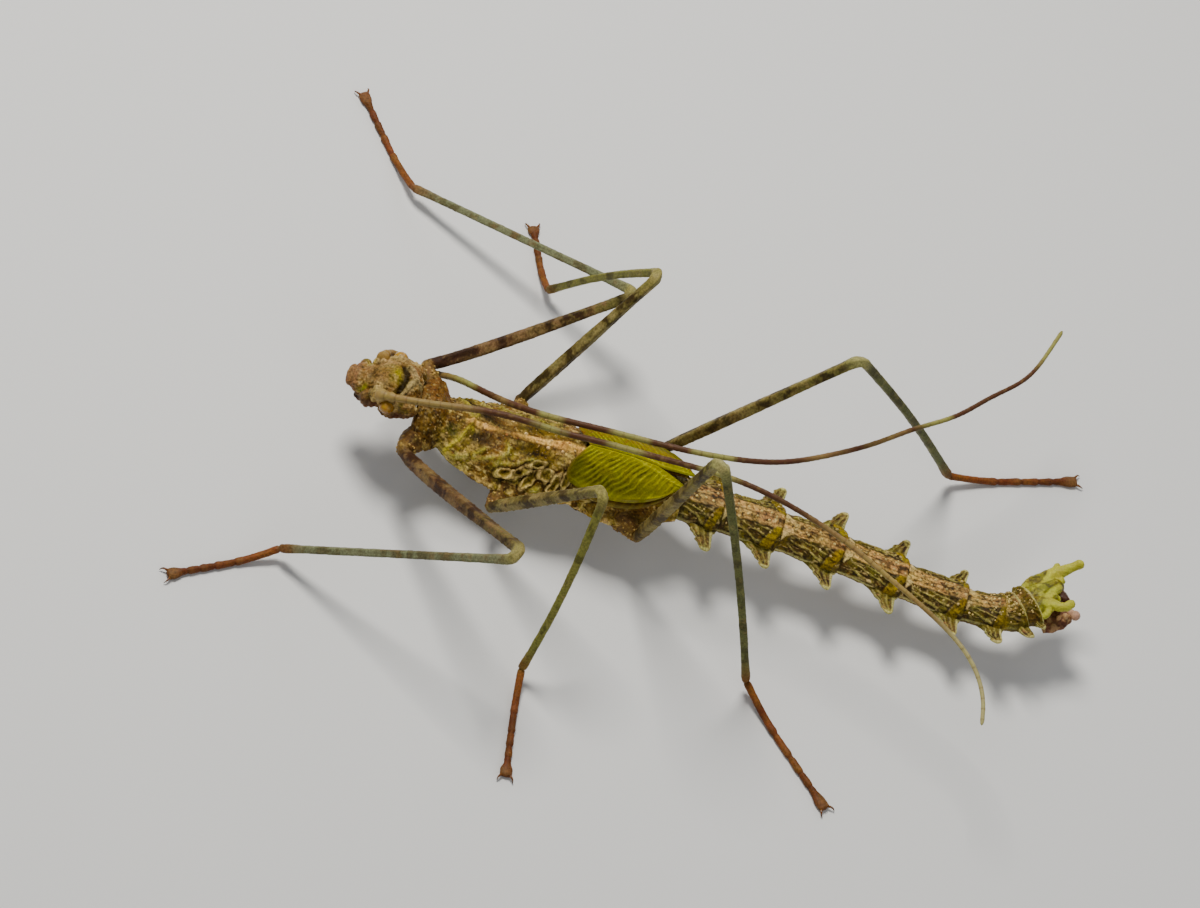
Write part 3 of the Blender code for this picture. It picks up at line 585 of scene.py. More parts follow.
thorax = {
    # x, y, z of the middle, half width, height above, depth below, side flange
    "stations": (
        (-27.4, 0.2, 10.5, 3.2, 1.7, 2.3, 0.0), (-26.6, 0.15, 10.0, 4.4, 2.4, 2.8, 0.2),
        (-25.6, 0.0, 9.5, 4.8, 2.8, 2.9, 0.5), (-24.5, 0.0, 9.1, 4.7, 2.8, 2.9, 0.4),
        (-23.7, 0.0, 8.8, 4.0, 2.35, 2.6, 0.1), (-23.4, 0.0, 8.7, 3.7, 2.1, 2.5, 0.0),
        (-23.1, 0.0, 8.6, 3.8, 2.4, 2.6, 0.1), (-22.0, 0.0, 8.1, 4.3, 2.8, 2.8, 0.2),
        (-20.0, 0.0, 7.7, 5.0, 3.0, 3.0, 0.4), (-17.8, 0.0, 7.5, 5.5, 3.2, 3.1, 0.4),
        (-15.4, 0.0, 7.5, 6.0, 3.3, 3.2, 0.7), (-12.8, 0.0, 7.6, 6.1, 3.5, 3.2, 0.7),
        (-10.0, 0.0, 7.8, 6.0, 3.8, 3.2, 0.5), (-7.4, 0.0, 8.2, 5.8, 4.1, 3.2, 0.5),
        (-5.0, 0.0, 8.2, 5.3, 4.1, 3.0, 0.3), (-3.0, 0.0, 8.0, 5.6, 4.3, 3.0, 0.6),
        (0.0, 0.0, 8.0, 5.7, 4.4, 3.0, 0.9), (3.0, 0.0, 8.0, 5.4, 4.2, 2.9, 0.7),
        (6.0, 0.1, 8.4, 4.5, 3.4, 2.7, 0.4), (9.2, 0.2, 8.9, 3.4, 2.4, 2.4, 0.0)),
    "rows": 350, "columns": 240,
    "brown": (0.155, 0.080, 0.018), "deep": (0.026, 0.012, 0.002), "olive": (0.215, 0.165, 0.028),
    "khaki": (0.40, 0.275, 0.095), "russet": (0.20, 0.088, 0.024), "carina": (0.80, 0.49, 0.15),
    "moss": (0.34, 0.290, 0.055), "lichen": (0.46, 0.40, 0.140), "flap": (0.60, 0.46, 0.18),
    "ochre": (0.30, 0.190, 0.014), "edge": (0.64, 0.47, 0.17), "bead": (0.80, 0.54, 0.22),
    "frontPit": (0.035, 0.036, 0.003), "middlePit": (0.060, 0.029, 0.007), "crossMoss": (0.40, 0.330, 0.055),
    "flank": (0.24, 0.145, 0.035), "brightBead": (1.15, 1.22, 1.35), "rustyBead": (0.75, 0.5, 0.5),
    # chosen beads along the middle: x, y, size and kind
    "beads": ((-15.2, -0.4, 0.26, "rusty"), (-12.8, 0.5, 0.30, "bright"), (-9.6, -0.9, 0.28, "bright"),
              (-7.7, -1.1, 0.24, "bright"), (-14.8, 2.2, 0.26, "bright"), (-9.4, 0.2, 0.22, "bright"),
              (-7.2, 0.3, 0.2, "rusty"), (-16.6, 0.3, 0.2, "rusty"), (-11.2, -0.4, 0.18, "bright"),
              (-6.2, -0.5, 0.2, "bright"), (-13.7, -0.5, 0.16, "rusty"), (-18.2, 0.2, 0.2, "bright")),
    "crossLines": (((-22.4, -4.2), (-20.9, -2.8), (-20.1, -0.9), (-19.3, 1.5)),
                   ((-22.4, 4.2), (-20.9, 2.8), (-20.1, 0.9), (-19.6, -1.2))),
    "mossLines": (((-22.4, -4.4), (-20.3, -4.4), (-18.4, -3.9), (-17.4, -3.0)),
                  ((-18.2, -4.3), (-16.0, -3.7), (-14.8, -4.2), (-13.0, -3.8), (-11.2, -2.9), (-9.2, -3.0)),
                  ((-16.0, -4.2), (-14.6, -5.3), (-12.4, -5.2), (-11.1, -4.0)),
                  ((-12.4, -5.4), (-10.6, -5.7), (-9.4, -5.6)),
                  ((-14.9, -1.2), (-14.3, -2.6), (-15.2, -3.6)),
                  ((-16.8, 4.4), (-14.8, 3.6), (-12.6, 4.2), (-10.4, 3.3), (-8.6, 3.6)),
                  ((-22.0, 4.4), (-19.6, 4.2), (-17.8, 3.4))),
    # dark patches of painted shade in the hollows beside the middle ridge: middle x and half length
    "shades": ((-18.8, 1.9), (-11.6, 2.6)),
    # leaf-like folds: middle x, y, half length, half width, heading in degrees
    "flaps": ((-10.6, -4.7, 1.25, 0.48, 50), (-12.3, -4.5, 1.50, 0.46, 30), (-8.8, -4.1, 0.95, 0.60, -20),
              (-7.4, -4.7, 1.10, 0.50, 65), (-13.9, -4.9, 1.20, 0.40, 12), (-6.2, -4.0, 0.80, 0.45, 80),
              (-10.2, -3.2, 1.10, 0.34, 15), (-9.4, 4.5, 1.0, 0.50, -40), (-12.6, 5.0, 1.1, 0.45, 20)),
}


def stationAt(x):
    # the station table read at x, softened over its neighbours
    at, *columns = np.array(thorax["stations"]).T
    total = 0.0
    for k, weight in ((-2, 1), (-1, 4), (0, 6), (1, 4), (2, 1)):
        read = np.clip(x + k * 0.16, at[0], at[-1])
        total = total + weight * np.stack([np.interp(read, at, column) for column in columns], axis=-1)
    return total / 16.0


def thoraxSkin(x, turn):
    y0, z0, half, top, bottom, flange = np.moveaxis(stationAt(x), -1, 0)
    c, sn = np.cos(turn), np.sin(turn)
    edgeAngle = np.abs(np.arcsin(np.clip(sn, -1, 1)))
    width = half + flange * np.exp(-(edgeAngle / 0.20) ** 2)
    arch = np.where(sn > 0, 0.45 * sn + 0.55 * (1 - np.abs(c) ** 1.7) * (sn > 0), sn)
    z = z0 + np.where(sn > 0, top, bottom) * arch
    point = np.stack((x, y0 + width * c, z), axis=-1)
    outward = unit(np.stack((np.zeros_like(c), c / half, sn / np.where(sn > 0, top, bottom)), axis=-1))
    return point, outward


def flapRing(point, flap):
    # about 1 on the wavy raised edge of a leaf-like fold, 0 at its middle
    fx, fy, length, width, lean = flap
    x, y = point[..., 0] - fx, point[..., 1] - fy
    c, sn = math.cos(math.radians(lean)), math.sin(math.radians(lean))
    ring = np.hypot((x * c + y * sn) / length, (y * c - x * sn) / width)
    return ring + 0.60 * cloud(point, 0.7, 44, 3)


def crumple(point):
    return cloud(point * (0.6, 1.0, 1.0), 1.1, 70, 2)


def contours(point):
    # thin crumpled ridges, broken up along their length
    return hill(crumple(point), 0, 0.06) * step(cloud(point, 1.7, 71, 2), -0.15, 0.15)


def thoraxRelief(point, turn):
    part = thorax
    x, y = point[..., 0], point[..., 1]
    top = step(np.sin(turn), 0.0, 0.25)
    along = step(x, -21.5, -20.2) * (1 - step(x, -5.0, -4.0))
    ridge = hill(y, 0.12 * cloud(point, 2.5, 41, 1), 0.30 + 0.08 * cloud(point, 1.0, 40, 1))
    relief = 0.36 * ridge * along * top * (0.8 + 0.4 * cloud(point, 1.2, 42, 2))
    for corners in part["crossLines"]:
        relief += 0.34 * hill(lineDistance(x, y, corners)[0], 0, 0.30) * top
    for corners in part["mossLines"]:
        gap = lineDistance(x, y, corners)[0] + 0.18 * cloud(point, 0.9, 43, 2)
        relief += 0.40 * hill(gap, 0, 0.26) * top
    for flap in part["flaps"]:
        ring = flapRing(point, flap)
        rise = 0.42 * hill(ring, 0.95, 0.28) - 0.14 * hill(ring, 0.2, 0.4) - 0.16 * hill(ring, 1.55, 0.25)
        relief += rise * top
    granular = 0.35 + 0.65 * step(-x, 23.2, 23.8) + 0.4 * step(np.abs(y), 3.5, 5.0)
    relief += 0.22 * grains(point, 0.58, 45) * granular
    relief += 0.24 * cloud(point, 1.4, 46, 4)
    relief += 0.09 * grains(point, 0.30, 48)
    bulge = hill(x, -25.2, 1.4) * step(np.cos(turn), 0.55, 0.9)
    relief += 0.65 * bulge * (0.8 + 0.4 * cloud(point, 1.0, 49, 2))
    relief -= 0.22 * hill(x, -25.1, 0.22) * top
    relief -= 0.10 * hill(x, -26.3, 0.2) * top
    relief += 0.13 * contours(point) * top
    edge = np.exp(-(np.arcsin(np.clip(np.sin(turn), -1, 1)) / 0.22) ** 2)
    relief += edge * (0.32 * cloud(point, 1.0, 47, 3) + 0.10)
    relief -= 0.30 * hill(np.hypot(x + 22.1, np.abs(y) - 2.1), 0, 0.7) * top
    relief -= 0.22 * hill(np.hypot((x + 10.8) / 2.2, np.abs(y) - 1.9), 0, 0.75) * top
    relief -= 0.20 * hill(np.hypot((x + 17.6) / 2.0, np.abs(y) - 1.9), 0, 0.85) * top
    return relief


def thoraxPaint(point, turn):
    part = thorax
    x, y = point[..., 0], point[..., 1]
    sn = np.sin(turn)
    coarse, middle, fine = cloud(point, 2.4, 51, 3), cloud(point, 1.0, 52, 3), cloud(point, 0.4, 53, 2)
    spot = grains(point, 0.55, 54)
    wrinkle = cloud(point * (0.55, 1.0, 1.0), 0.55, 57, 3)       # short streaks along the body
    paint, put = startPaint(point, part, "brown")
    put("olive", step(coarse + 0.4 * middle, -0.2, 0.3) * 0.85)
    put("khaki", step(middle + 0.5 * fine, 0.02, 0.42) * 0.75)
    put("russet", step(cloud(point, 1.6, 58, 2), 0.15, 0.5) * 0.5)
    put("deep", step(-middle + 0.5 * fine, 0.16, 0.46) * 0.75)
    put("deep", step(-wrinkle, 0.20, 0.45) * 0.55)
    put("edge", step(wrinkle, 0.24, 0.45) * 0.6)
    put("edge", step(cloud(point, 0.42, 59, 2), 0.30, 0.50) * 0.6)
    put("edge", step(spot, 0.60, 0.75) * step(fine, 0.0, 0.3) * 0.45)
    # painted shadow to one side of the thin crumpled ridges
    put("deep", hill(crumple(point), -0.14, 0.07) * 0.7)
    put("flap", contours(point) * step(fine, -0.4, 0.1) * 0.85)
    front = 1 - step(x, -23.9, -23.2)
    put("brown", front * 0.6)
    put("deep", front * step(-wrinkle, 0.05, 0.35) * 0.6)
    put("russet", front * step(y + coarse, -1.2, 1.0) * 0.7)
    put("deep", front * step(-middle + 0.5 * fine, 0.10, 0.4) * 0.6)
    put("flap", front * step(spot, 0.50, 0.75) * step(fine, -0.1, 0.3) * 0.5)
    for mark in (-1, 1):
        put("frontPit", 0.9 * hill(np.hypot(x + 22.1, y - mark * 2.1) + 0.3 * middle, 0, 0.95))
        put("middlePit", 0.9 * hill(np.hypot((x + 17.7) / 2.3, y - mark * 1.9) + 0.3 * middle, 0, 1.0))
        patch = hill(np.hypot((x + 10.8) / 2.4, y - mark * 1.8) + 0.25 * middle, 0, 0.95)
        put("ochre", patch)
        put("deep", patch * step(fine + 0.5 * middle, -0.1, 0.25))
    for corners in part["mossLines"]:
        gap = lineDistance(x, y, corners)[0]
        mask = hill(gap + 0.25 * middle, 0, 0.27) * step(fine + middle, -0.7, -0.1)
        put("moss", mask * 0.9)
        put("lichen", mask * step(fine, 0.0, 0.4) * 0.8)
    for corners in part["crossLines"]:
        put("crossMoss", hill(lineDistance(x, y, corners)[0] + 0.15 * middle, 0, 0.26) * 0.95)
    for flap in part["flaps"]:
        ring = flapRing(point, flap)
        # painted shadow round the outside of each leaf-like fold
        put("deep", hill(ring, 1.55, 0.26) * 0.85)
        put("olive", (1 - step(ring, 0.60, 0.85)) * 0.8)
        put("deep", (1 - step(ring, 0.25, 0.55)) * step(fine, -0.3, 0.2) * 0.6)
        put("flap", hill(ring, 0.98, 0.24) * (0.85 + 0.4 * fine))
    along = step(x, -21.2, -20.0) * (1 - step(x, -4.8, -4.4))
    wide = 0.30 + 0.30 * step(x, -13.0, -6.5) + 0.10 * hill(x, -18.8, 1.6)
    drift = -0.05 + 0.10 * cloud(point, 2.5, 41, 1)
    away, top = np.abs(y - drift), step(sn, 0.3, 0.6)
    band = (1 - step(away + 0.22 * middle, wide * 0.75, wide * 1.2)) * along * top
    put("brown", 0.8 * along * hill(away, wide * 1.5, 0.16) * top)
    put("carina", band)
    put("russet", band * step(middle + 0.5 * fine, 0.12, 0.38) * 0.6)
    put("deep", band * step(-middle + 0.6 * fine, 0.30, 0.55) * 0.5)
    put("bead", band * step(cloud(point, 0.7, 56, 2), 0.10, 0.35) * 0.55)
    put("bead", band * step(spot, 0.62, 0.8) * step(fine, 0.1, 0.5) * 0.5)
    edge = np.exp(-(np.arcsin(np.clip(sn, -1, 1)) / 0.16) ** 2)
    put("edge", edge * step(cloud(point, 0.8, 55, 2), 0.05, 0.35) * 0.8)
    put("lichen", edge * hill(x, -21.5, 1.6) * 0.5)
    put("deep", (1 - step(sn, -0.5, -0.1)) * 0.45)
    # painted light: the left side from the mesothorax back made brighter, and all behind the prothorax a
    # little brighter
    paintedLight = 1 + 0.45 * step(-y, 0.6, 2.6) * step(x, -23.2, -21.5) + 0.12 * step(x, -23.2, -21.5)
    paint[:] = np.minimum(paint * paintedLight[..., None], 0.9)
    # painted shade: the colour darkened in the hollows beside the middle ridge
    for at, length in part["shades"]:
        shade = hill(np.hypot((x - at) / length, (np.abs(y) - 1.9) / 1.1) + 0.3 * middle, 0, 0.8)
        paint *= (1 - 0.62 * shade * top)[..., None]
    side = step(x, -4.6, -3.8) * hill(sn, 0.25, 0.22)
    put("flank", side * step(x, -1.0, 1.5) * (1 - step(x, 8.0, 9.0)) * 0.7)
    return paint


def beadTone(kind):
    pale = np.array(thorax["bead"])
    if kind in ("bright", "rusty"):
        return pale * thorax[kind + "Bead"]
    return pale * (chance.uniform(0.20, 0.45) if kind == "dim" else chance.uniform(0.30, 0.8))


def makeThorax():
    part = thorax
    build = newBuild()
    spots = list(part["beads"])
    for _ in range(40):
        place = chance.uniform(-27.0, -23.8), chance.uniform(-3.6, 3.8)
        spots.append((*place, chance.uniform(0.10, 0.20), "dim"))
    for _ in range(150):
        place = chance.uniform(-22.8, -5.5), chance.uniform(-5.3, 5.3)
        spots.append((*place, chance.uniform(0.07, 0.16), "plain"))
    for mark in (-1, 1):
        for _ in range(26):
            at = chance.uniform(-22.6, 8.0)
            station = stationAt(np.array([at]))[0]
            half = station[2] + station[5]
            spots.append((at, mark * half * chance.uniform(0.93, 0.995), chance.uniform(0.16, 0.30), "plain"))
    x, y, size = np.array([spot[:3] for spot in spots]).T
    middle, _, half, *_ = stationAt(x).T
    turns = np.arccos(np.clip((y - middle) / (half + 0.2), -0.998, 0.998))
    point, outward = thoraxSkin(x, turns)
    point = point + outward * (thoraxRelief(point, turns) * 0.8)[:, None]
    addBeads(build, point, outward, size, [beadTone(spot[3]) for spot in spots])
    x = np.linspace(part["stations"][0][0], part["stations"][-1][0], part["rows"])
    xx, tt = np.meshgrid(x, bodyTurns(part["columns"], 0.16), indexing="ij")
    point, outward = thoraxSkin(xx, tt)
    paint = thoraxPaint(point, tt)
    point = point + outward * thoraxRelief(point, tt)[..., None]
    addGrid(build, closeEnds(point), paint)
    finishBuild(build, "thorax", surfaces["barkSkin"], ["prothorax", "mesothorax", "metathorax"])


makeThorax()


wings = {
    # front end, left and right tips and widths, how far below the forewings
    "forewing": {"first": -4.7, "tips": (8.9, 10.2), "width": (5.5, 5.4), "drop": 0.0,
                 "rows": 200, "columns": 100, "slot": "leaf_green"},
    "hindwing": {"first": -3.5, "tips": (8.6, 9.4), "width": (5.7, 5.6), "drop": 0.85,
                 "rows": 90, "columns": 50, "slot": "wing_brown"},
    "leaf": (0.215, 0.200, 0.004), "bright": (0.58, 0.55, 0.034), "groove": (0.050, 0.044, 0.001),
    "cream": (0.42, 0.35, 0.10), "pink": (0.33, 0.21, 0.075), "brown": (0.11, 0.055, 0.012),
    "ochre": (0.25, 0.165, 0.015), "dot": (0.20, 0.05, 0.012), "pleats": 11.5, "veins": 26.0, "thick": 0.34,
}


def wingPaint(point, kind, side, uu, vv, fold, small, strength, ridge, scallop):
    middle, fine = cloud(point, 1.0, 64, 3), cloud(point, 0.33, 65, 2)
    if kind == "hindwing":
        paint, put = startPaint(point, wings, "brown")
        put("ochre", step(middle + 0.5 * fold, -0.2, 0.6) * 0.8)
        put("groove", step(-small + 0.8 * fine, 0.4, 1.0) * 0.5)
        put("cream", 0.4 * hill(vv, 1.0, 0.05))
        return paint
    paint, put = startPaint(point, wings, "leaf")
    # painted highlight on the pleat crests and painted shade in their valleys, mixed with mottling
    put("bright", step(fold + 1.1 * middle, 0.3, 1.3) * 0.55)
    put("groove", step(-fold + 0.9 * middle + 0.5 * fine, 0.40, 1.2) * strength * 0.75)
    put("groove", step(-small + 0.8 * fine, 0.5, 1.2) * strength * 0.55)
    put("groove", step(middle, 0.15, 0.5) * 0.35)
    inner = 0.4 * step(uu, 0.6, 0.9) * (1 - step(vv, 0.3, 0.6))
    # painted highlight along the raised midline ridge and over the inner rear of the wing
    put("bright", 0.8 * (ridge + inner) * (0.8 + 0.5 * middle))
    put("bright", 0.5 * hill(vv, 0.93, 0.07) * (0.7 + 0.6 * middle))
    put("cream", (0.25 + 0.5 * scallop) * hill(vv, 0.980, 0.025) * step(uu, 0.15, 0.4))
    put("cream", 0.8 * hill(uu, 1.0, 0.022))
    put("groove", 0.5 * (1 - step(uu + 0.04 * middle, 0.02, 0.14)) * step(vv, 0.15, 0.35))
    put("pink", 0.5 * hill(uu, 0.0, 0.02))
    if side > 0:
        dots = step(grains(point, 0.42, 66), 0.5, 0.8) * hill(vv, 0.42, 0.25)
        put("ochre", 0.55 * step(vv, 0.25, 0.6))
        # painted shadow over the right forewing's outer, lower part
        put("groove", 0.6 * step(vv + 0.1 * middle, 0.6, 0.8))
        put("dot", dots * 0.8)
    return paint


def makeWing(kind, side):
    # u runs from the wing's root to its tip and v from the midline out, over the top face and back below
    part = wings[kind]
    k = 0 if side < 0 else 1
    tip, width = part["tips"][k], part["width"][k]
    u = np.linspace(0, 1, part["rows"]) ** 0.95
    half = np.linspace(0, 1, part["columns"])
    v = np.concatenate((half, half[::-1], half[:1]))
    face = np.concatenate((np.zeros(part["columns"]), np.ones(part["columns"]), np.zeros(1)))
    uu, vv = np.meshgrid(u, v, indexing="ij")
    ff = np.broadcast_to(face, uu.shape)
    arc = np.sin(np.pi * np.minimum(0.24 + 0.76 * uu, 1.0)).clip(0, 1)
    full = np.where(uu < 1, arc ** 0.42, 0.0)
    reach = width * np.maximum(full, 0.16)
    inner = 0.02 + 4.8 * np.maximum(0.0, uu - 0.68) ** 1.2
    y = np.where(reach > inner + 0.4, inner + (reach - inner) * vv, inner + 0.4 * vv)
    x = part["first"] + (tip - part["first"]) * uu - (3.3 * vv - 1.9 * vv ** 4) * (1 - uu) ** 2
    x = x - 0.8 * vv * vv * uu
    rim = np.minimum(np.minimum(vv, 1 - vv) / 0.05, np.minimum(uu, 1 - uu) / 0.03).clip(0, 1)
    z = 14.35 - 0.016 * (x - 0.5) ** 2 - part["drop"] - 0.100 * y ** 2
    point = np.stack((x, 0.1 + side * y, z), axis=-1)
    # fine pleats run from the midline forward and outward
    fan = 0.74 * x + (0.72 - 0.035 * (x + 4)) * y
    fan = fan + 0.30 * cloud(point, 2.2, 61, 2) + 0.10 * cloud(point, 0.9, 60, 2)
    fold = np.sin(fan * wings["pleats"])
    small = np.sin(fan * wings["veins"] + 1.5 * cloud(point, 1.2, 62, 1))
    strength = step(vv, 0.06, 0.24) * (1 - 0.7 * step(vv, 0.80, 0.95))
    strength = strength * (0.60 + 0.8 * cloud(point, 1.3, 67, 2))
    ridge = hill(vv, 0.0, 0.07) + 0.6 * hill(vv - 0.55 * (uu - 0.55), 0.12, 0.05) * step(uu, 0.35, 0.6)
    scallop = 0.5 + 0.5 * np.sin(uu * 26 + 2 * cloud(point, 1.5, 68, 1))
    relief = 0.062 * fold * strength + 0.025 * small * strength + 0.07 * cloud(point, 0.7, 63, 3)
    edge = (0.08 + 0.10 * scallop) * hill(vv, 0.97, 0.05)
    relief = relief + 0.30 * ridge + edge + 0.08 * hill(uu, 0.03, 0.03)
    thick = wings["thick"] * np.sqrt(rim)
    point[..., 2] += np.where(ff > 0, -thick * 0.5 - 0.12, thick * 0.5 - 0.12) + relief * rim
    paint = wingPaint(point, kind, side, uu, vv, fold, small, strength, ridge, scallop)
    build = newBuild()
    addGrid(build, point, paint)
    label = "left" if side < 0 else "right"
    finishBuild(build, label + kind.capitalize(), surfaces["wingSkin"], [label + "_" + kind])


for kind in ("forewing", "hindwing"):
    for side in (-1, 1):
        makeWing(kind, side)


legs = {
    # hip and root places, thickest of the hip, thigh and shin lengths, thigh radius, droop, bow of the shin
    "front": {"hip": (-27.5, 7.1, 9.8), "root": (-26.1, 3.5, 8.5), "coxa": 1.4,
              "thigh": 30.15, "shin": 36.1, "radius": 0.88, "sag": 0.8, "bow": 0.0,
              "base": (0.098, 0.052, 0.022), "band": (0.036, 0.015, 0.007), "fleck": (0.25, 0.160, 0.070),
              "far": (0.150, 0.130, 0.040),
              "shinBase": (0.205, 0.215, 0.115), "shinBand": (0.100, 0.082, 0.034)},
    "middle": {"hip": (-14.4, 8.8, 6.2), "root": (-12.6, 4.0, 6.9), "coxa": 1.5,
               "thigh": 25.4, "shin": 28.1, "radius": 0.78, "sag": 0.0, "bow": 0.8,
               "base": (0.155, 0.118, 0.040), "band": (0.045, 0.027, 0.009), "fleck": (0.33, 0.27, 0.105),
               "far": (0.185, 0.160, 0.044),
               "shinBase": (0.235, 0.225, 0.060), "shinBand": (0.085, 0.076, 0.020)},
    "hind": {"hip": (4.9, 7.1, 7.7), "root": (2.0, 4.0, 7.4), "coxa": 1.7,
             "thigh": 33.15, "shin": 40.6, "radius": 0.78, "sag": 0.0, "bow": 0.6,
             "base": (0.165, 0.118, 0.038), "band": (0.048, 0.030, 0.010), "fleck": (0.31, 0.25, 0.090),
             "far": (0.180, 0.165, 0.044),
             "shinBase": (0.132, 0.138, 0.044), "shinBand": (0.058, 0.048, 0.014),
             "paleKnee": 0.7},
    # thigh heading and rise, shin heading, foot heading, foot length
    "poses": {"left_front": (-51.4, 30.4, 168.9, -147.6, 15.0),
              "right_front": (39.6, 6.5, 155.6, 126.0, 17.6),
              "left_middle": (-34.4, 57.2, -97.9, -83.7, 15.2),
              "right_middle": (46.3, 49.9, 137.0, 111.3, 11.6),
              "left_hind": (-64.2, 73.8, -14.4, -44.9, 19.8),
              "right_hind": (10.6, 54.6, 29.6, 21.6, 19.4)},
    "ankle": 2.0, "toe": 0.42, "shinRadius": 0.55, "footRadius": 0.46,
    "knee": (0.33, 0.29, 0.100), "kneePale": (0.40, 0.38, 0.16), "pad": (0.22, 0.115, 0.050),
    "foot": (0.235, 0.090, 0.032), "footDark": (0.105, 0.034, 0.015), "hipBase": (0.205, 0.115, 0.036),
    "hipDark": (0.060, 0.031, 0.012), "hipPale": (0.56, 0.38, 0.13), "claw": (0.20, 0.075, 0.02),
    "spacing": 0.2, "columns": 30, "hipBeads": 90,
    # how far along the thigh or shin, and the thickness there
    "thighAt": (0, 0.06, 0.25, 0.5, 0.8, 0.93, 1.0), "thighBy": (0.80, 0.95, 1.0, 0.97, 0.80, 0.84, 0.95),
    "shinAt": (0, 0.04, 0.12, 0.5, 0.9, 0.97, 1.0), "shinBy": (1.06, 0.95, 0.97, 1.15, 0.95),
    "footAt": (0, 0.1, 0.8, 0.9, 1.0), "footBy": (1.1, 1.0, 0.92, 1.0, 0.9),
    "footJoints": (0.0, 0.40, 0.58, 0.71, 0.82),
}


def heading(yaw, rise):
    yaw, rise = math.radians(yaw), math.radians(rise)
    return np.array((math.cos(rise) * math.cos(yaw), math.cos(rise) * math.sin(yaw), math.sin(rise)))


def kneeArc(hip, knee, ankle, bend):
    u, v = unit(hip - knee), unit(ankle - knee)
    inward, across = unit(u + v), unit(u - v)
    turn = math.pi / 2 - math.acos(max(-1.0, min(1.0, float(u @ inward))))
    centre = knee + inward * bend
    angles = [turn * (1 - i / 6) for i in range(7)]
    before = [centre + (across * math.sin(a) - inward * math.cos(a)) * bend for a in angles]
    after = [p - across * (2 * (p - knee) @ across) for p in reversed(before)]
    return before, after


def legLine(name, side, pair):
    # corner points from the body to the toe, and how far along each joint lies
    yaw, rise, shinYaw, footYaw, foot = legs["poses"][name]
    x, y, z = pair["hip"]
    hip = np.array((x, side * y, z))
    knee = hip + heading(yaw, rise) * pair["thigh"]
    drop = math.degrees(math.asin((knee[2] - legs["ankle"]) / pair["shin"]))
    ankle = knee + heading(shinYaw, -drop) * pair["shin"]
    toe = ankle + heading(footYaw, 0) * foot
    toe[2] = legs["toe"]
    x, y, z = pair["root"]
    root = np.array((x, side * y, z))
    before, after = kneeArc(hip, knee, ankle, pair["radius"] * 0.92 + 0.3)
    thigh = []
    for i in range(1, 24):
        t = i / 24
        droop = np.array((0, 0, pair["sag"] * math.sin(math.pi * t ** 0.6)))
        thigh.append(hip + (before[0] - hip) * t - droop)
    down = unit(ankle - knee)
    outward = unit((knee - hip) - down * ((knee - hip) @ down)) * pair["bow"]
    shin, footLine = [], []
    for i in range(1, 25):
        t = i / 24
        shin.append(after[-1] + (ankle - after[-1]) * i / 24 + outward * math.sin(math.pi * i / 24))
        p = ankle + (toe - ankle) * t
        p[2] = legs["toe"] + (legs["ankle"] - legs["toe"]) * max(0.0, 1 - t / 0.42) ** 1.6
        footLine.append(p)
    start = [root - unit(hip - root) * 0.8, root, root + (hip - root) * 0.55, hip]
    corners = np.array(start + thigh + before + after + shin + footLine)
    lengths = travelled(corners)
    last = len(start) - 1
    kneeRow = last + len(thigh) + len(before)
    ankleRow = kneeRow + len(after) + len(shin)
    marks = {"hip": lengths[last], "knee": lengths[kneeRow], "ankle": lengths[ankleRow], "end": lengths[-1]}
    return corners, marks, (hip, knee, ankle, toe)


def legSizes(pair, d, marks, parts):
    # thickness all along a leg, and where the foot's joints are pinched and swollen
    thighPart, shinPart, footPart = parts
    r, shinRadius = pair["radius"], legs["shinRadius"]
    size = np.interp(d, (0, marks["hip"] * 0.35, marks["hip"] * 0.75, marks["hip"]),
                     (pair["coxa"] * 1.05, pair["coxa"] * 1.10, r * 1.35, r * 0.85))
    size = np.where(thighPart > 0, r * np.interp(thighPart, legs["thighAt"], legs["thighBy"]), size)
    shinBy = (r * 0.95 / shinRadius, r * 0.80 / shinRadius, *legs["shinBy"])
    size = np.where(shinPart > 0, shinRadius * np.interp(shinPart, legs["shinAt"], shinBy), size)
    joints = legs["footJoints"]
    pinch = sum(hill(footPart, joint, 0.012) for joint in joints)
    swell = sum(hill(footPart, joint - 0.035, 0.030) for joint in joints[1:])
    footSize = legs["footRadius"] * np.interp(footPart, legs["footAt"], legs["footBy"])
    size = np.where(footPart > 0, footSize * (1 - 0.22 * pinch + 0.14 * swell), size)
    narrow = 0.10 * hill(d, marks["hip"], 0.25)
    size = size * (1 - narrow - 0.10 * hill(shinPart, 0.0, 0.008) - 0.15 * hill(footPart, 0.0, 0.012))
    return size, pinch, swell


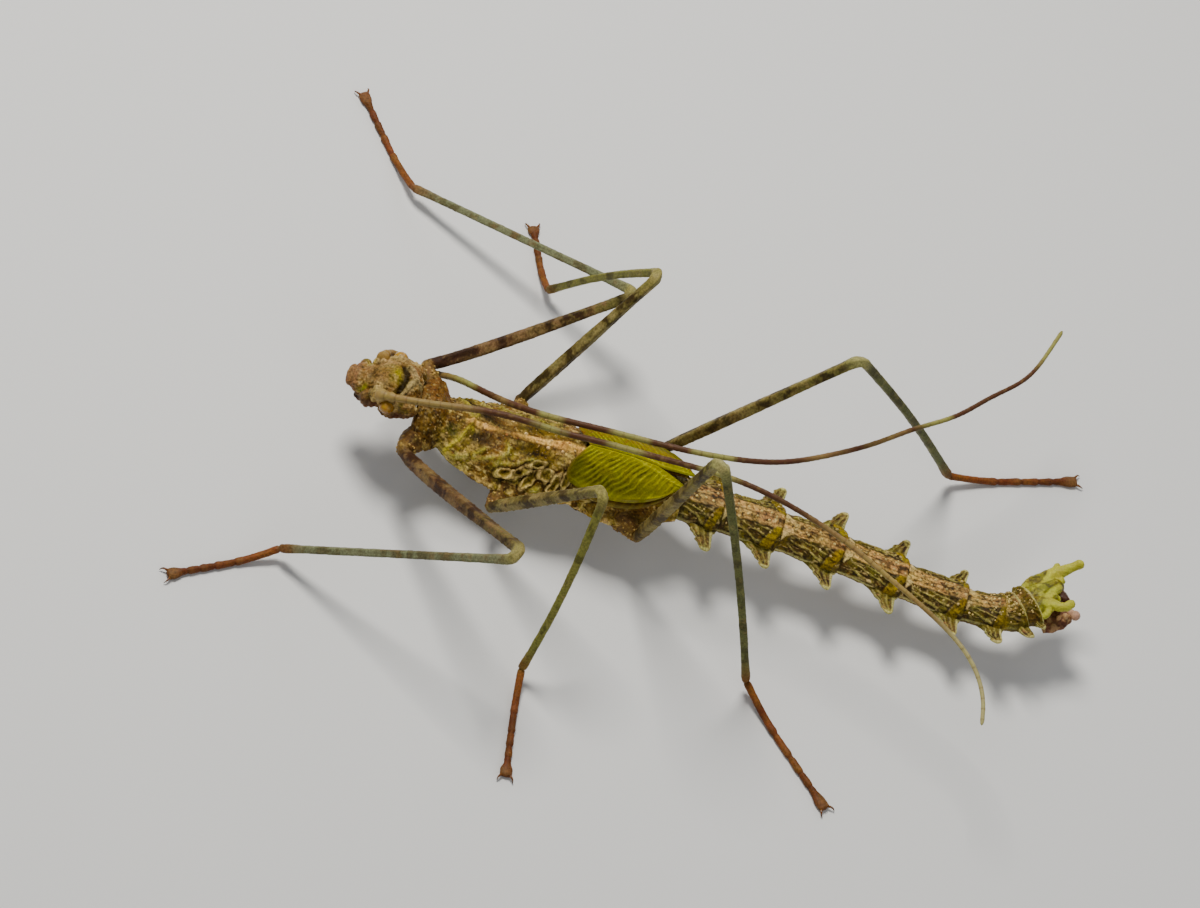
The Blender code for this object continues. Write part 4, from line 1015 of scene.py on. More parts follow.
def legPaint(name, pair, point, dd, tt, marks, parts, keel, hipZone, pads, pinch, swell):
    colours = {**legs, **pair}
    thighPart, shinPart, footPart = (part[:, None] for part in parts)
    middle, fine = cloud(point, 1.1, 75, 3), cloud(point, 0.4, 76, 2)
    around = np.stack((dd, 0.25 * np.cos(tt), 0.25 * np.sin(tt)), axis=-1)
    wave = cloud(around + 13.7 * list(legs["poses"]).index(name), 1.9, 78, 2)
    around = np.stack((dd * 0.8, 0.8 * np.cos(tt), 0.8 * np.sin(tt)), axis=-1)
    sideWave = cloud(around + 5.1, 1.1, 70, 3)
    paint, put = startPaint(point, colours, "base")
    put("fleck", step(sideWave + 0.4 * middle, 0.0, 0.35) * 0.8)
    put("far", step(thighPart, 0.35, 0.9) * 0.8 * step(-middle, -0.35, 0.0))
    put("band", step(-wave + 0.5 * middle, 0.25, 0.50) * 0.75)
    put("band", step(-sideWave + 0.35 * fine, 0.12, 0.34) * 0.85)
    put("fleck", hill(-sideWave + 0.35 * fine, 0.02, 0.07) * 0.6)
    put("fleck", keel * step(fine + 0.4 * middle, -0.2, 0.2) * 0.35)
    shinPaint, putShin = startPaint(point, colours, "shinBase")
    putShin("shinBand", step(-wave + 0.4 * middle, 0.10, 0.4) * 0.7)
    putShin("shinBand", step(-sideWave + 0.3 * fine, 0.18, 0.40) * 0.65)
    putShin("fleck", step(middle + 0.4 * fine, 0.15, 0.5) * 0.4)
    putShin("foot", step(shinPart, 0.86, 1.0) * 0.7)
    dab(paint, shinPaint, step(shinPart, -0.02, 0.03))
    kneeMask = hill(dd, marks["knee"], 1.5) * (0.85 + 0.3 * middle)
    put("knee", kneeMask)
    put("kneePale", kneeMask * pair.get("paleKnee", 0.0))
    footPaint, putFoot = startPaint(point, colours, "foot")
    putFoot("footDark", step(cloud(point, 1.6, 79, 2) + footPart, 0.1, 0.9) * 0.75)
    putFoot("pad", pads * 0.6 + 0.25 * swell[:, None])
    putFoot("footDark", pinch[:, None] * 0.7)
    dab(paint, footPaint, step(footPart, -0.01, 0.05))
    hipPaint, putHip = startPaint(point, colours, "hipBase")
    putHip("hipDark", step(middle, -0.1, 0.30) * 0.8)
    putHip("hipPale", step(grains(point, 0.60, 73), 0.40, 0.65) * step(fine, -0.3, 0.2) * 0.7)
    dab(paint, hipPaint, hipZone * 0.95)
    return paint


def makeLeg(name):
    sideName, pairName = name.split("_")
    side = -1 if sideName == "left" else 1
    pair = legs[pairName]
    corners, marks, (hip, knee, ankle, toe) = legLine(name, side, pair)
    path, d = evenly(corners, legs["spacing"])
    for _ in range(3):
        path[1:-1] = (path[:-2] + 2 * path[1:-1] + path[2:]) / 4
    stages = ("hip", "knee", "ankle", "end")
    parts = [(d - marks[a]) / (marks[b] - marks[a]) for a, b in zip(stages, stages[1:])]
    thighPart, _, footPart = parts
    size, pinch, swell = legSizes(pair, d, marks, parts)

    # the leg's flat sides keep to the plane of its bend, and the foot's to the floor
    plane = unit(np.cross(hip - knee, ankle - knee))
    along = unit(np.gradient(path, axis=0))
    lean = step(footPart, -0.06, 0.06)[:, None]
    crossFlat = unit(np.cross(np.broadcast_to((0.0, 0.0, 1.0), path.shape), along))
    sign = np.sign((crossFlat[-20:] @ plane).mean()) or 1.0
    sideways = unit(plane * (1 - lean) + crossFlat * sign * lean)
    sideways = unit(sideways - along * (sideways * along).sum(1, keepdims=True))
    upward = np.cross(sideways, along)
    dd, tt = np.meshgrid(d, roundTurns(legs["columns"]), indexing="ij")
    sizes = np.broadcast_to(size[:, None], dd.shape).copy()
    limb = step(thighPart, 0.03, 0.1)[:, None] * (1 - step(footPart, -0.05, 0.0))[:, None]
    sizes *= 1 + limb * 0.11 * np.cos(4 * tt)                      # keels along the thigh and shin
    teeth = np.clip(np.sin(dd * 4.1 + 1.3 * side), 0, 1) ** 3
    keel = np.exp(-(np.minimum(np.abs(tt - 0.5 * np.pi), np.abs(tt - 1.5 * np.pi)) / 0.30) ** 2)
    sizes += limb * 0.07 * teeth * keel * (thighPart < 0.95)[:, None]
    pads = step(footPart, 0.86, 0.94)[:, None] * (1 - step(footPart, 0.985, 1.0))[:, None]
    point = ringGrid(path, sideways, upward, sizes * (1 + 0.85 * pads), sizes * (1 - 0.05 * pads), tt)
    out = unit(sideways[:, None] * np.cos(tt)[..., None] + upward[:, None] * np.sin(tt)[..., None])
    hipZone = (1 - step(d, marks["hip"] - 0.2, marks["hip"] + 0.8))[:, None]
    rough = 0.05 * cloud(point, 0.6, 71, 3) + 0.04 * grains(point, 0.34, 72)
    rough = rough + hipZone * (0.30 * grains(point, 0.60, 73) + 0.25 * cloud(point, 1.2, 74, 3))
    point = point + out * rough[..., None]
    point[..., 2] = np.maximum(point[..., 2], 0.0)

    paint = legPaint(name, pair, point, dd, tt, marks, parts, keel, hipZone, pads, pinch, swell)
    build = newBuild()
    count = legs["hipBeads"]
    row = chance.integers(0, int(marks["hip"] / legs["spacing"]), count)
    column = chance.integers(0, legs["columns"], count)
    tones = chance.uniform(0.5, 1.3, (count, 1)) * np.array(legs["hipPale"])
    addBeads(build, point[row, column], out[row, column], chance.uniform(0.08, 0.19, count), tones)
    addGrid(build, closeEnds(point), paint)
    label = sideName + pairName.capitalize() + "Leg"
    nodes = [name + "_" + part for part in ("coxa", "femur", "tibia", "tarsus")]
    finishBuild(build, label, surfaces["legSkin"], nodes)
    makeClaws(label + "Claws", toe, unit(toe - ankle))


def makeClaws(name, toe, ahead):
    # two curved claws
    ahead = unit(np.array((ahead[0], ahead[1], 0.0)))
    across = np.array((-ahead[1], ahead[0], 0.0))
    build = newBuild()
    for mark in (-1, 1):
        t = np.linspace(0, 1, 14)[:, None]
        path = toe + ahead * (-0.25 + 0.95 * t) + across * mark * (0.55 + 0.45 * np.sin(t * 1.9))
        path[:, 2] = 0.50 + 0.20 * np.sin(t[:, 0] * 2.2) - 0.52 * t[:, 0] ** 2
        side, up = tubeFrames(path, (0, 0, 1.0))
        size = 0.17 * (1 - t[:, 0]) ** 0.7 + 0.015
        turns = np.broadcast_to(roundTurns(10), (14, 11))
        grid = ringGrid(path, side, up, size[:, None], size[:, None], turns)
        grid[..., 2] = np.maximum(grid[..., 2], 0.0)
        tone = np.array(legs["claw"]) * (1 - 0.7 * t[:, None])
        addGrid(build, closeEnds(grid), np.broadcast_to(tone, grid.shape))
    finishBuild(build, name, surfaces["clawHorn"], [])


for legName in legs["poses"]:
    makeLeg(legName)


feelers = {
    "amber": (0.29, 0.160, 0.042),
    "right": ((-33.6, 2.6, 13.8), (-33.7, 5.5, 13.0), (-32.1, 7.1, 10.4), (-29.5, 7.4, 8.2),
              (-27.2, 7.6, 6.2), (-25.3, 8.2, 7.2), (-24.2, 7.3, 9.3), (-22.6, 5.4, 11.2), (-20.3, 3.5, 13.0),
              (-17.2, 1.7, 14.8), (-13.6, 0.4, 16.3), (-9.4, -0.6, 18.0), (-4.5, -1.2, 19.8),
              (-0.6, -1.5, 20.5),
              (6.7, -1.5, 21.4), (11.3, -1.1, 21.9), (18.7, 0.7, 22.0), (24.8, 4.6, 22.0),
              (30.9, 9.1, 21.8), (34.9, 13.5, 21.6), (40.6, 17.6, 21.2), (44.3, 23.2, 21.0),
              (48.6, 27.0, 20.6), (50.9, 33.6, 20.2), (52.3, 38.0, 20.0)),
    "left": ((-32.9, -2.6, 13.5), (-30.4, -3.6, 15.5), (-27.3, -3.3, 15.7), (-24.3, -2.8, 16.0),
             (-20.0, -1.9, 16.4), (-16.6, -1.7, 16.8), (-13.2, -1.8, 17.2), (-9.0, -2.5, 17.9),
             (-4.0, -2.5, 18.9), (-0.1, -2.8, 19.5), (7.0, -2.8, 20.2), (11.8, -2.7, 20.6),
             (17.8, -3.4, 20.9), (24.2, -4.9, 20.8), (30.7, -7.1, 20.5), (36.3, -9.7, 20.0),
             (42.1, -12.2, 19.4), (48.7, -16.2, 18.6), (51.9, -21.9, 18.0), (52.0, -25.0, 17.5)),
    "radius": (0.47, 0.27), "columns": 20,
    "pale": (0.36, 0.255, 0.085), "green": (0.30, 0.28, 0.085), "dark": (0.090, 0.036, 0.014),
    "tan": (0.25, 0.165, 0.060), "cream": (0.42, 0.37, 0.16), "ring": 1.45, "baseLength": 2.6,
    # distance along the thick base, and its radius there
    "baseAt": (0, 0.25, 0.9, 1.5, 1.7, 2.0, 2.4, 2.6),
    "baseBy": (0.45, 0.80, 0.86, 0.66, 0.50, 0.62, 0.60, 0.5),
    # distance along the feeler where each colour is reached
    "rightBands": ((0, "pale"), (14, "tan"), (17, "green"), (19.5, "green"), (20.8, "dark"),
                   (23.8, "dark"), (25, "tan"), (26.5, "dark"), (29.8, "dark"), (31, "green"),
                   (33.2, "green"), (34.4, "dark"), (39.5, "dark"), (41, "green"), (45, "green"),
                   (46, "dark"), (50.5, "dark"), (51.7, "green"), (56, "green"), (57, "dark"),
                   (65, "dark"), (68, "tan"), (74, "dark"), (79, "tan"), (83, "dark"), (86, "green"),
                   (88, "green"), (89.5, "dark"), (105, "dark"), (108, "green"), (115, "green"),
                   (117.5, "dark")),
    "leftBands": ((0, "pale"), (12, "tan"), (15, "dark"), (20, "dark"), (23, "green"), (26, "dark"),
                  (30, "dark"), (32, "green"), (35, "green"), (36, "dark"), (42, "dark"),
                  (43.5, "green"), (47, "green"), (49, "dark"), (57, "dark"), (61, "tan"), (72, "pale"),
                  (78, "tan"), (83, "cream"), (96, "cream")),
}


def makeFeeler(side):
    points = np.array(feelers[side])
    line = through(points, np.linspace(0, len(points) - 1, 161))
    line = evenly(line, evenly(line, 0.1)[1][-1] / 80)[0]
    for _ in range(10):
        line[1:-1] = (line[:-2] + 2 * line[1:-1] + line[2:]) / 4
    path, d = evenly(through(line, np.linspace(0, len(line) - 1, 1500)), 0.16)
    sideways, up = tubeFrames(path, (0, 0, 1.0))
    size = np.interp(d / d[-1], (0, 1), feelers["radius"])
    rings = np.mod(d, feelers["ring"]) / feelers["ring"]
    groove = 0.10 * hill(rings, 1.0, 0.06)
    size = size * (1 + 0.07 * step(rings, 0.6, 0.95) - groove - 0.05 * hill(rings, 0.0, 0.06))
    size = np.where(d < feelers["baseLength"], np.interp(d, feelers["baseAt"], feelers["baseBy"]), size)
    size = size * np.sqrt(np.clip((d[-1] - d) / 0.6 + 0.02, 0.02, 1))
    turn = roundTurns(feelers["columns"])
    tt = np.broadcast_to(turn, (len(d), len(turn)))
    point = ringGrid(path, sideways, up, size[:, None], size[:, None], tt)
    point = point + (unit(point - path[:, None]) * (0.02 * cloud(point, 0.4, 81, 2))[..., None])
    stops = feelers[side + "Bands"]
    colours = np.array([feelers[label] for _, label in stops])
    wobble = d[:, None] + 0.5 * cloud(point, 1.2, 82, 2)
    reached = [stop[0] for stop in stops]
    paint = np.stack([np.interp(wobble, reached, channel) for channel in colours.T], axis=-1)
    dab(paint, feelers["dark"], 0.5 * hill(rings, 1.0, 0.09)[:, None])
    dab(paint, feelers["tan"], step(cloud(point, 0.5, 83, 2), 0.2, 0.6) * 0.4)
    if side == "right":
        glow = 0.8 + 0.4 * cloud(point, 0.8, 84, 2)
        dab(paint, feelers["amber"], 0.85 * (1 - step(wobble, 4.0, 8.0)) * glow)
    build = newBuild()
    addGrid(build, closeEnds(point), paint)
    nodes = [side + "_antenna_" + part for part in ("base", "near", "middle", "far")]
    finishBuild(build, side + "Feeler", surfaces["feelerSkin"], nodes)


makeFeeler("left")
makeFeeler("right")


tail = {
    # centre and radius of each ball along the swellings and folds, mm
    "cup": (((57.13, 3.62, 7.78, 1.55), (57.81, 4.69, 8.12, 1.70), (58.63, 5.70, 8.32, 1.45),
             (59.46, 6.72, 8.52, 1.25), (60.02, 7.43, 8.87, 0.95)),
            ((57.62, 2.37, 8.44, 1.90), (58.54, 3.16, 8.72, 1.90), (59.51, 4.19, 8.98, 1.60),
             (60.31, 5.47, 8.90, 1.15)),
            ((58.05, 0.89, 9.12, 1.60), (58.74, 1.08, 9.56, 1.50), (59.43, 1.53, 9.90, 1.15)),
            ((59.10, 2.10, 9.60, 1.20), (59.75, 2.60, 9.80, 0.95), (60.30, 2.60, 10.00, 0.75)),
            ((58.23, 2.69, 7.33, 1.60), (59.26, 3.04, 7.73, 1.60), (60.40, 3.85, 8.11, 1.30))),
    "folds": (((58.23, 4.37, 9.54, 0.34), (58.93, 5.56, 9.54, 0.42), (59.38, 7.11, 9.31, 0.44),
               (60.00, 8.73, 9.08, 0.38)),
              ((59.07, 1.75, 10.32, 0.46), (59.60, 3.30, 10.12, 0.55), (60.46, 4.63, 9.84, 0.50)),
              ((60.43, 6.54, 9.33, 0.55), (60.91, 6.26, 9.48, 0.45)),
              ((59.35, 1.02, 10.35, 0.52), (59.60, 0.18, 10.38, 0.44), (59.38, -0.48, 10.18, 0.40),
               (58.91, -0.69, 9.88, 0.34))),
    "claspers": (((59.00, 1.13, 10.28, 0.70), (60.00, 1.39, 10.57, 0.70), (60.87, 1.14, 10.93, 0.62),
                  (61.65, 1.26, 11.14, 0.58), (62.19, 1.88, 11.21, 0.63)),
                 ((59.82, 7.18, 9.05, 1.00), (60.59, 7.60, 9.66, 0.80), (61.51, 8.11, 10.32, 0.65),
                  (62.16, 8.53, 10.76, 0.62), (62.42, 8.66, 10.97, 0.66))),
    "flesh": (((60.28, 4.75, 8.57, 1.00), (61.18, 4.24, 8.95, 0.80), (61.86, 3.54, 9.49, 0.50)),),
    "plate": ((59.59, 0.61, 6.86), (60.66, 0.97, 7.17), (62.00, 1.65, 7.55), (63.13, 2.58, 7.90)),
    "bulbs": ((63.72, 2.35, 8.43, 0.68, "pink"), (63.07, 2.60, 8.40, 0.50, "pink"),
              (62.40, 1.75, 8.45, 0.42, "tan"), (61.60, 1.30, 8.20, 0.36, "tan")),
    # how far along the underside plate, its half width and its half height there
    "plateAt": (0, 0.05, 0.35, 0.7, 0.93, 1.0), "plateWide": (0.8, 1.5, 1.65, 1.35, 0.85, 0.3),
    "plateTall": (0.25, 0.6, 0.75, 0.75, 0.6, 0.2), "voxel": 0.075,
    "green": (0.225, 0.215, 0.020), "bright": (0.56, 0.540, 0.080), "dark": (0.070, 0.056, 0.004),
    "warm": (0.19, 0.125, 0.020), "inside": (0.060, 0.022, 0.012), "maroon": (0.200, 0.090, 0.045),
    "maroonDark": (0.060, 0.021, 0.011), "tan": (0.48, 0.29, 0.14), "pink": (0.55, 0.33, 0.22),
}


def lineGap(point, lines):
    # distance from the nearest of some ball lines, less the balls' radius
    gap = np.full(len(point), 9.0)
    for line in lines:
        for spot in through(line, np.linspace(0, len(line) - 1, 8 * len(line))):
            gap = np.minimum(gap, np.linalg.norm(point - spot[:3], axis=1) - spot[3])
    return gap


def makeTail():
    part = tail
    lines = [line for group in ("cup", "folds", "claspers", "flesh") for line in part[group]]
    mesh, point, normal = melted((), lines, part["voxel"], 12)
    coarse, middle, fine = cloud(point, 1.6, 91, 3), cloud(point, 0.8, 92, 3), cloud(point, 0.35, 93, 2)
    folds, claspers, flesh = (lineGap(point, part[group]) for group in ("folds", "claspers", "flesh"))
    raised = 1 - step(np.minimum(folds, claspers), 0.05, 0.30)
    inside = (1 - step(flesh, 0.02, 0.22)) * step(np.minimum(folds, claspers), 0.0, 0.15)
    paint, put = startPaint(point, part, "green")
    put("warm", step(coarse, 0.0, 0.4) * 0.6)
    # patchy dark between the raised folds, partly painted shade
    put("dark", step(-middle + 0.4 * fine, 0.06, 0.40) * 0.8 * (1 - raised))
    put("bright", step(middle + 0.4 * fine, 0.05, 0.45) * 0.6)
    # painted highlight on the raised folds and claspers
    put("bright", raised * (0.80 + 0.3 * middle))
    # painted shade in a band round the folds and claspers
    put("dark", hill(np.minimum(folds, claspers), 0.34, 0.14) * 0.40)
    put("inside", inside)
    put("pink", inside * step(middle, 0.05, 0.35) * 0.8)
    put("maroon", (1 - step(point[:, 2], 6.9, 7.8)) * 0.8)
    point = point + normal * (0.09 * middle + 0.05 * fine + 0.04 * grains(point, 0.35, 99))[:, None]
    paintMesh(mesh, point, paint)
    nodes = ["tail_end", "left_clasper", "right_clasper"]
    finishMesh(mesh, "tailEnd", surfaces["tailSkin"], nodes)

    plate = newBuild()
    path, d = evenly(through(part["plate"], np.linspace(0, 3, 80)), 0.07)
    wide, tall = (np.interp(d / d[-1], part["plateAt"], part[which]) for which in ("plateWide", "plateTall"))
    across, upward = tubeFrames(path, (0, 0, 1.0))
    ring = roundTurns(80)
    turns = np.broadcast_to(ring, (len(d), len(ring)))
    grid = ringGrid(path, across, upward, wide[:, None], tall[:, None], turns)
    bump = 0.10 * grains(grid, 0.8, 96) + 0.22 * cloud(grid, 1.0, 97, 3)
    grid = grid + unit(grid - path[:, None] + 1e-9) * bump[..., None]
    paint, put = startPaint(grid, part, "maroon")
    put("maroonDark", step(cloud(grid, 0.7, 98, 3), 0.0, 0.4) * 0.7)
    put("tan", step(cloud(grid, 0.6, 94, 3), 0.05, 0.35) * 0.85)
    ball = roundBall(17, ring[::4])
    for x, y, z, size, tone in part["bulbs"]:
        addGrid(plate, closeEnds(np.array((x, y, z)) + ball * size), np.array(part[tone]))
    addGrid(plate, closeEnds(grid), paint)
    finishBuild(plate, "undersidePlate", surfaces["tailSkin"], ["underside_plate"])


makeTail()


head = {
    # centre and radii of each swelling, mm
    "lumps": (
        ((-31.0, 0.45, 11.9), (3.3, 3.6, 2.9)), ((-29.3, 0.4, 12.2), (1.9, 3.3, 3.0)),
        ((-33.4, 0.65, 11.5), (2.2, 2.5, 2.2)), ((-35.1, 1.0, 10.9), (1.70, 2.2, 1.8)),
        ((-36.35, 1.15, 10.6), (0.9, 1.7, 1.2)), ((-35.3, 1.0, 9.9), (0.9, 1.3, 0.8)),
        ((-34.6, -0.8, 9.8), (1.0, 0.7, 0.9)), ((-34.6, 2.4, 9.8), (1.0, 0.7, 0.9)),
        ((-31.1, -2.55, 12.8), (1.55, 1.0, 1.35)), ((-31.1, 3.5, 12.8), (1.55, 1.0, 1.35)),
        ((-29.2, -2.4, 12.1), (1.9, 1.0, 1.4)), ((-29.2, 3.4, 12.1), (1.9, 1.1, 1.5)),
        ((-30.6, -2.9, 11.2), (1.5, 0.8, 0.9)), ((-30.6, 3.8, 11.2), (1.5, 0.8, 0.9)),
        ((-32.9, -2.2, 13.0), (1.2, 1.0, 0.90)), ((-33.3, 2.55, 13.0), (1.15, 0.95, 1.00)),
        ((-33.6, -2.1, 11.5), (1.3, 1.0, 1.1)),
        ((-31.4, 0.25, 14.3), (1.3, 1.2, 0.65)), ((-32.8, 0.4, 13.1), (1.3, 1.2, 0.8)),
        ((-34.5, 0.0, 12.3), (0.9, 0.7, 0.5)), ((-34.6, 1.6, 12.3), (0.8, 0.6, 0.5)),
        ((-35.4, -0.7, 11.6), (0.9, 0.40, 0.45)), ((-35.2, 2.95, 11.4), (0.80, 0.75, 0.80))),
    "ridges": (((-29.9, 2.4, 14.5), (-29.2, 1.5, 15.0), (-28.6, 0.4, 14.9)),
               ((-29.9, -2.0, 14.4), (-29.2, -0.9, 14.9), (-28.6, 0.4, 14.9)),
               ((-28.6, 0.4, 14.9), (-28.1, 0.4, 14.2), (-27.9, 0.3, 13.4))),
    "palps": (((-34.3, -0.5, 9.3), (-34.2, -0.8, 8.6), (-33.6, -0.9, 8.2)),
              ((-34.3, 1.4, 9.3), (-34.2, 1.7, 8.6), (-33.6, 1.8, 8.2))),
    "hollow": ((-30.3, 2.2), (-29.95, 0.9), (-29.9, -0.2), (-30.2, -1.5)),
    "voxel": 0.078, "ridgeSize": 0.28,
    "yellowStripe": ((-35.6, -1.45), (-35.1, -1.35), (-34.7, -1.30)), "middle": 0.45,
    "tan": (0.255, 0.145, 0.048), "pale": (0.56, 0.39, 0.165), "olive": (0.18, 0.135, 0.026),
    "moss": (0.31, 0.255, 0.018), "dark": (0.030, 0.017, 0.003), "pink": (0.29, 0.145, 0.070),
    "purple": (0.095, 0.036, 0.024), "yellow": (0.31, 0.30, 0.008), "rust": (0.20, 0.085, 0.018),
    "crest": (0.40, 0.30, 0.13),
}
eyes = {
    "centres": {"left": (-31.2, -3.5, 12.8), "right": (-31.2, 4.5, 12.8)}, "radii": (0.98, 0.90, 0.86),
    "amber": (0.42, 0.220, 0.035), "brown": (0.14, 0.048, 0.008), "glint": (0.50, 0.30, 0.06),
}


def makeHead():
    part = head
    thin = np.full(3, part["ridgeSize"])
    lines = [np.column_stack((line, thin)) for line in part["ridges"] + part["palps"]]
    mesh, point, normal = melted(part["lumps"], lines, part["voxel"], 6)
    x, y, z = point.T
    yc = y - part["middle"]
    pit = hill(lineDistance(x, y, part["hollow"])[0], 0, 0.50) * step(z, 13.4, 14.1)
    crease = hill(x, -34.0 + 0.1 * np.abs(yc), 0.22) * step(z, 10.0, 11.5)
    brow = hill(np.abs(yc), 1.55 + 0.35 * (x + 31.5), 0.3) * step(z, 13.0, 13.8) * hill(x, -31.6, 1.4)
    coarse, middle, fine = cloud(point, 1.8, 101, 3), cloud(point, 0.8, 102, 3), cloud(point, 0.35, 103, 2)
    spot = grains(point, 0.48, 104)
    relief = -0.42 * pit - 0.22 * crease + 0.18 * brow + 0.17 * middle
    relief = relief + 0.16 * spot * step(x, -34.5, -33.0) + 0.05 * fine
    relief = relief + 0.05 * spot - 0.12 * hill(x, -36.55 + 0.05 * yc ** 2, 0.12)
    mouth = hill(z, 9.9, 0.25) * step(-x, 34.6, 35.3)
    relief -= 0.18 * mouth
    point = point + normal * relief[:, None]
    paint, put = startPaint(point, part, "tan")
    put("olive", step(coarse, -0.1, 0.35) * 0.85)
    put("pale", step(middle + 0.4 * fine, 0.02, 0.36) * 0.85)
    put("rust", step(cloud(point, 1.1, 105, 2), 0.15, 0.45) * 0.6)
    put("dark", step(-middle + 0.5 * fine, 0.22, 0.5) * 0.65)
    snout = step(-x, 33.9, 34.6)
    put("pink", snout * step(-x + 0.4 * middle, 35.3, 36.1) * 0.8)
    put("pale", snout * hill(x, -34.9, 0.6) * step(fine, -0.3, 0.2) * 0.55)
    stripe = lineDistance(x, y, part["yellowStripe"])[0] + 0.12 * middle
    put("yellow", hill(stripe, 0, 0.30) * step(z, 10.6, 11.1) * 0.9)
    put("dark", step(-y, 1.2, 1.6) * snout * hill(z, 10.6, 0.7) * 0.85)
    spotGap = np.hypot((x + 34.6) * 0.8, yc - 1.9) + 0.2 * middle
    put("yellow", hill(spotGap, 0, 0.35) * step(z, 10.6, 11.2) * 0.7)
    mossGap = np.hypot(x + 31.0, yc * 0.8) + 0.35 * middle
    put("moss", hill(mossGap, 0, 0.85) * step(z, 13.4, 14.2) * 0.9)
    put("pale", hill(np.hypot(x + 32.9, np.abs(yc) - 2.2), 0, 1.2) * step(z, 12.6, 13.4) * 0.8)
    # painted shade in the hollow on the crown
    put("dark", pit * 1.3)
    put("dark", 0.7 * hill(x, -34.0 + 0.1 * np.abs(yc), 0.16) * step(middle, -0.3, 0.3))
    # painted shade: the head below z 10 to 11 dark purple, and the mouth groove dark
    low = 1 - step(z, 9.6, 11.0 + 0.4 * middle)
    put("purple", low * 0.85)
    put("dark", mouth * 0.9)
    cheek = np.maximum(step(np.abs(yc), 2.6, 3.2) * (1 - step(z, 11.9, 12.7)) * step(x, -32.5, -31.5),
                       step(-yc, 1.7, 2.3) * (1 - step(z, 11.9, 12.6)) * step(-x, 32.0, 32.8))
    put("purple", cheek * 0.75)
    ring = np.sqrt(((x + 31.2) / 1.0) ** 2 + ((z - 12.8) / 0.95) ** 2)
    for mark in (-1, 1):
        put("pale", hill(ring, 1.25, 0.3) * step(yc * mark, 2.4, 2.9) * 0.75)
    gap = np.full(len(point), 9.0)
    for line in part["ridges"]:
        for place in through(line, np.linspace(0, 2, 12)):
            gap = np.minimum(gap, np.linalg.norm(point - place, axis=1))
    put("crest", (1 - step(gap, 0.38, 0.62)) * 0.9)
    put("pink", step(-z, -8.9, -8.3) * 0.7)
    paintMesh(mesh, point, paint)
    finishMesh(mesh, "head", surfaces["barkSkin"], ["head"])


def makeEyes():
    for side, centre in eyes["centres"].items():
        tt, rr = np.meshgrid(np.linspace(0, np.pi, 46), roundTurns(72), indexing="ij")
        ball = np.stack((np.sin(tt) * np.cos(rr), np.cos(tt), np.sin(tt) * np.sin(rr)), axis=-1)
        point = ball * np.array(eyes["radii"]) + np.array(centre)
        point = point + ball * (0.02 * grains(point, 0.13, 111))[..., None]
        paint, put = startPaint(point, eyes, "amber")
        put("brown", step(cloud(point, 0.6, 112, 2), -0.1, 0.5) * 0.7)
        put("brown", hill(point[..., 2], 12.75, 0.16) * 0.6)
        put("glint", step(point[..., 2], 13.1, 13.6) * 0.5)
        build = newBuild()
        addGrid(build, closeEnds(point), paint)
        finishBuild(build, side + "Eye", surfaces["eyeSkin"], [side + "_eye"])


makeHead()
makeEyes()
print("body done")


studio = {
    "aim": (0.0, 2.09, 10.0), "height": 53.82, "bearing": -8.67, "tilt": 25.26, "distance": 585.0,
    "slide": (-2.6, 0.78), "lens": 135.0, "floor": (0.80, 0.80, 0.78),
    "air": (0.93, 0.95, 1.0, 1.0), "airStrength": 0.24,
    # direction, distance, size, power and colour of each soft light
    "lights": {"keyLight": ((-0.35, 0.35, 1.0), 0.5, 0.16, 2.6, (1.0, 0.97, 0.92)),
               "fillLight": ((0.6, -0.9, 0.7), 0.6, 0.35, 0.45, (0.95, 0.97, 1.0)),
               "backLight": ((0.2, 0.9, 0.5), 0.6, 0.3, 0.5, (1.0, 1.0, 1.0))},
}


def cameraAxes():
    e, a, p = (math.radians(studio[k]) for k in ("height", "bearing", "tilt"))
    spin = Matrix.Rotation(a, 3, "Z")
    back = spin @ Vector((0, -math.cos(e), math.sin(e)))
    right = spin @ Vector((1, 0, 0))
    up = spin @ Vector((0, math.sin(e), math.cos(e)))
    across = math.cos(p) * right + math.sin(p) * up
    rise = -math.sin(p) * right + math.cos(p) * up
    return across, rise, back


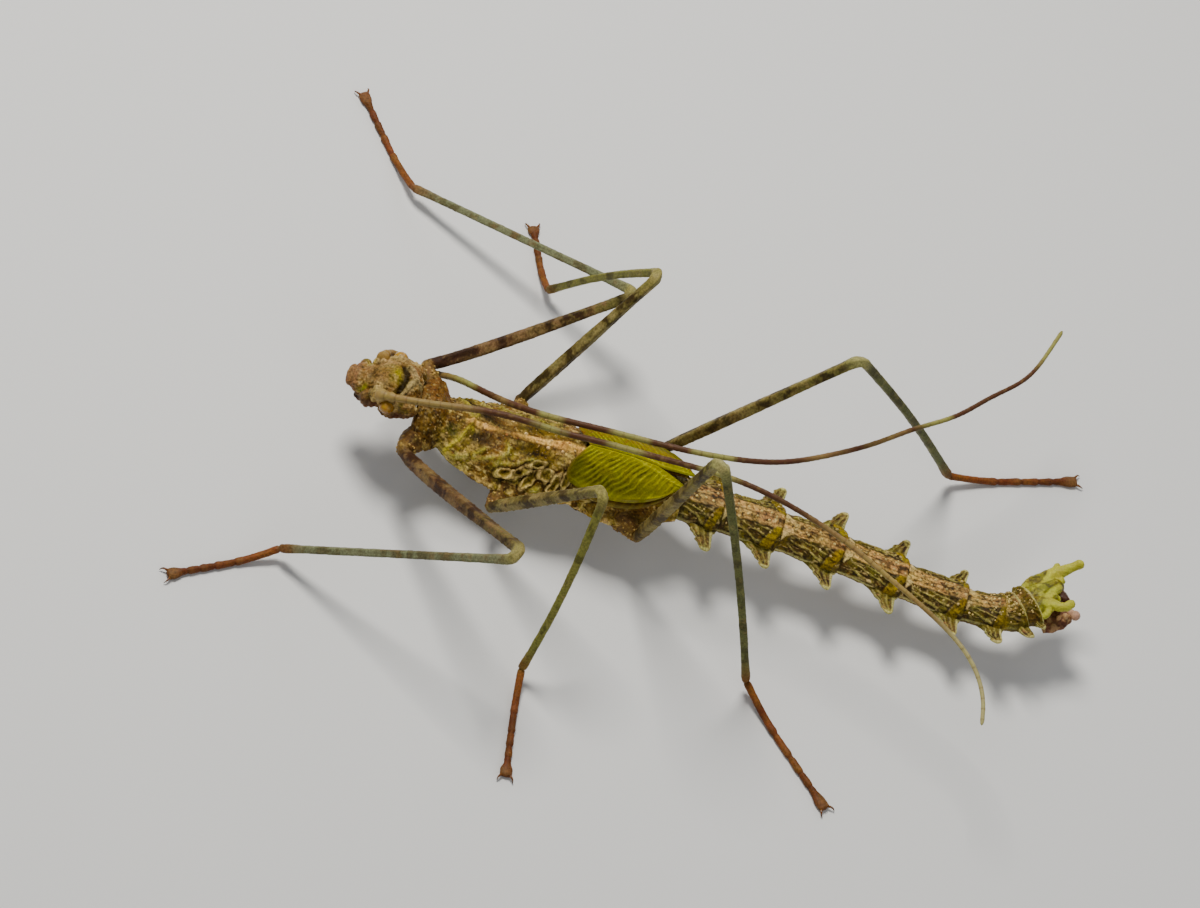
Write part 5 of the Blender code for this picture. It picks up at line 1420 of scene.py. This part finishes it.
def makeCamera():
    across, rise, back = cameraAxes()
    left, up = studio["slide"]
    spot = Vector(studio["aim"]) + studio["distance"] * back + left * across + up * rise
    spot = (spot + Vector(bodyOrigin)) * mm
    data = bpy.data.cameras.new("camera")
    data.lens = studio["lens"]
    data.sensor_width = 36.0
    data.clip_start = 0.01
    data.clip_end = 20.0
    camera = bpy.data.objects.new("camera", data)
    camera.matrix_world = Matrix.Translation(spot) @ Matrix((across, rise, back)).transposed().to_4x4()
    bpy.context.scene.collection.objects.link(camera)
    bpy.context.scene.camera = camera


def softLight(name, direction, distance, size, power, colour):
    data = bpy.data.lights.new(name, "AREA")
    data.shape = "DISK"
    data.size = size
    data.energy = power
    data.color = colour
    light = bpy.data.objects.new(name, data)
    direction = Vector(direction).normalized()
    light.location = direction * distance
    light.rotation_euler = direction.to_track_quat("Z", "Y").to_euler()
    bpy.context.scene.collection.objects.link(light)


def makeFloor():
    shell = bmesh.new()
    bmesh.ops.create_circle(shell, cap_ends=True, segments=96, radius=1.6)
    mesh = bpy.data.meshes.new("floor")
    shell.to_mesh(mesh)
    shell.free()
    floor = bpy.data.objects.new("floor", mesh)
    bpy.context.scene.collection.objects.link(floor)
    material = bpy.data.materials.new("floorPaper")
    material.use_nodes = True
    tree = material.node_tree
    shader = tree.nodes["Principled BSDF"]
    shader.inputs["Roughness"].default_value = 0.9
    shader.inputs["Specular IOR Level"].default_value = 0.2
    place = addNode(tree, "TexCoord")
    noise = addNode(tree, "TexNoise", Scale=14.0)
    tree.links.new(place.outputs["Object"], noise.inputs["Vector"])
    tone = addNode(tree, "MixRGB")
    tone.inputs["Color1"].default_value = (*[v * 0.985 for v in studio["floor"]], 1)
    tone.inputs["Color2"].default_value = (*studio["floor"], 1)
    tree.links.new(noise.outputs["Fac"], tone.inputs["Fac"])
    tree.links.new(tone.outputs["Color"], shader.inputs["Base Color"])
    mesh.materials.append(material)


def makeAir():
    world = bpy.data.worlds.new("studioAir")
    world.use_nodes = True
    air = world.node_tree.nodes["Background"].inputs
    air["Color"].default_value = studio["air"]
    air["Strength"].default_value = studio["airStrength"]
    bpy.context.scene.world = world


makeFloor()
makeCamera()
makeAir()
for lightName, settings in studio["lights"].items():
    softLight(lightName, *settings)
print("studio ready")
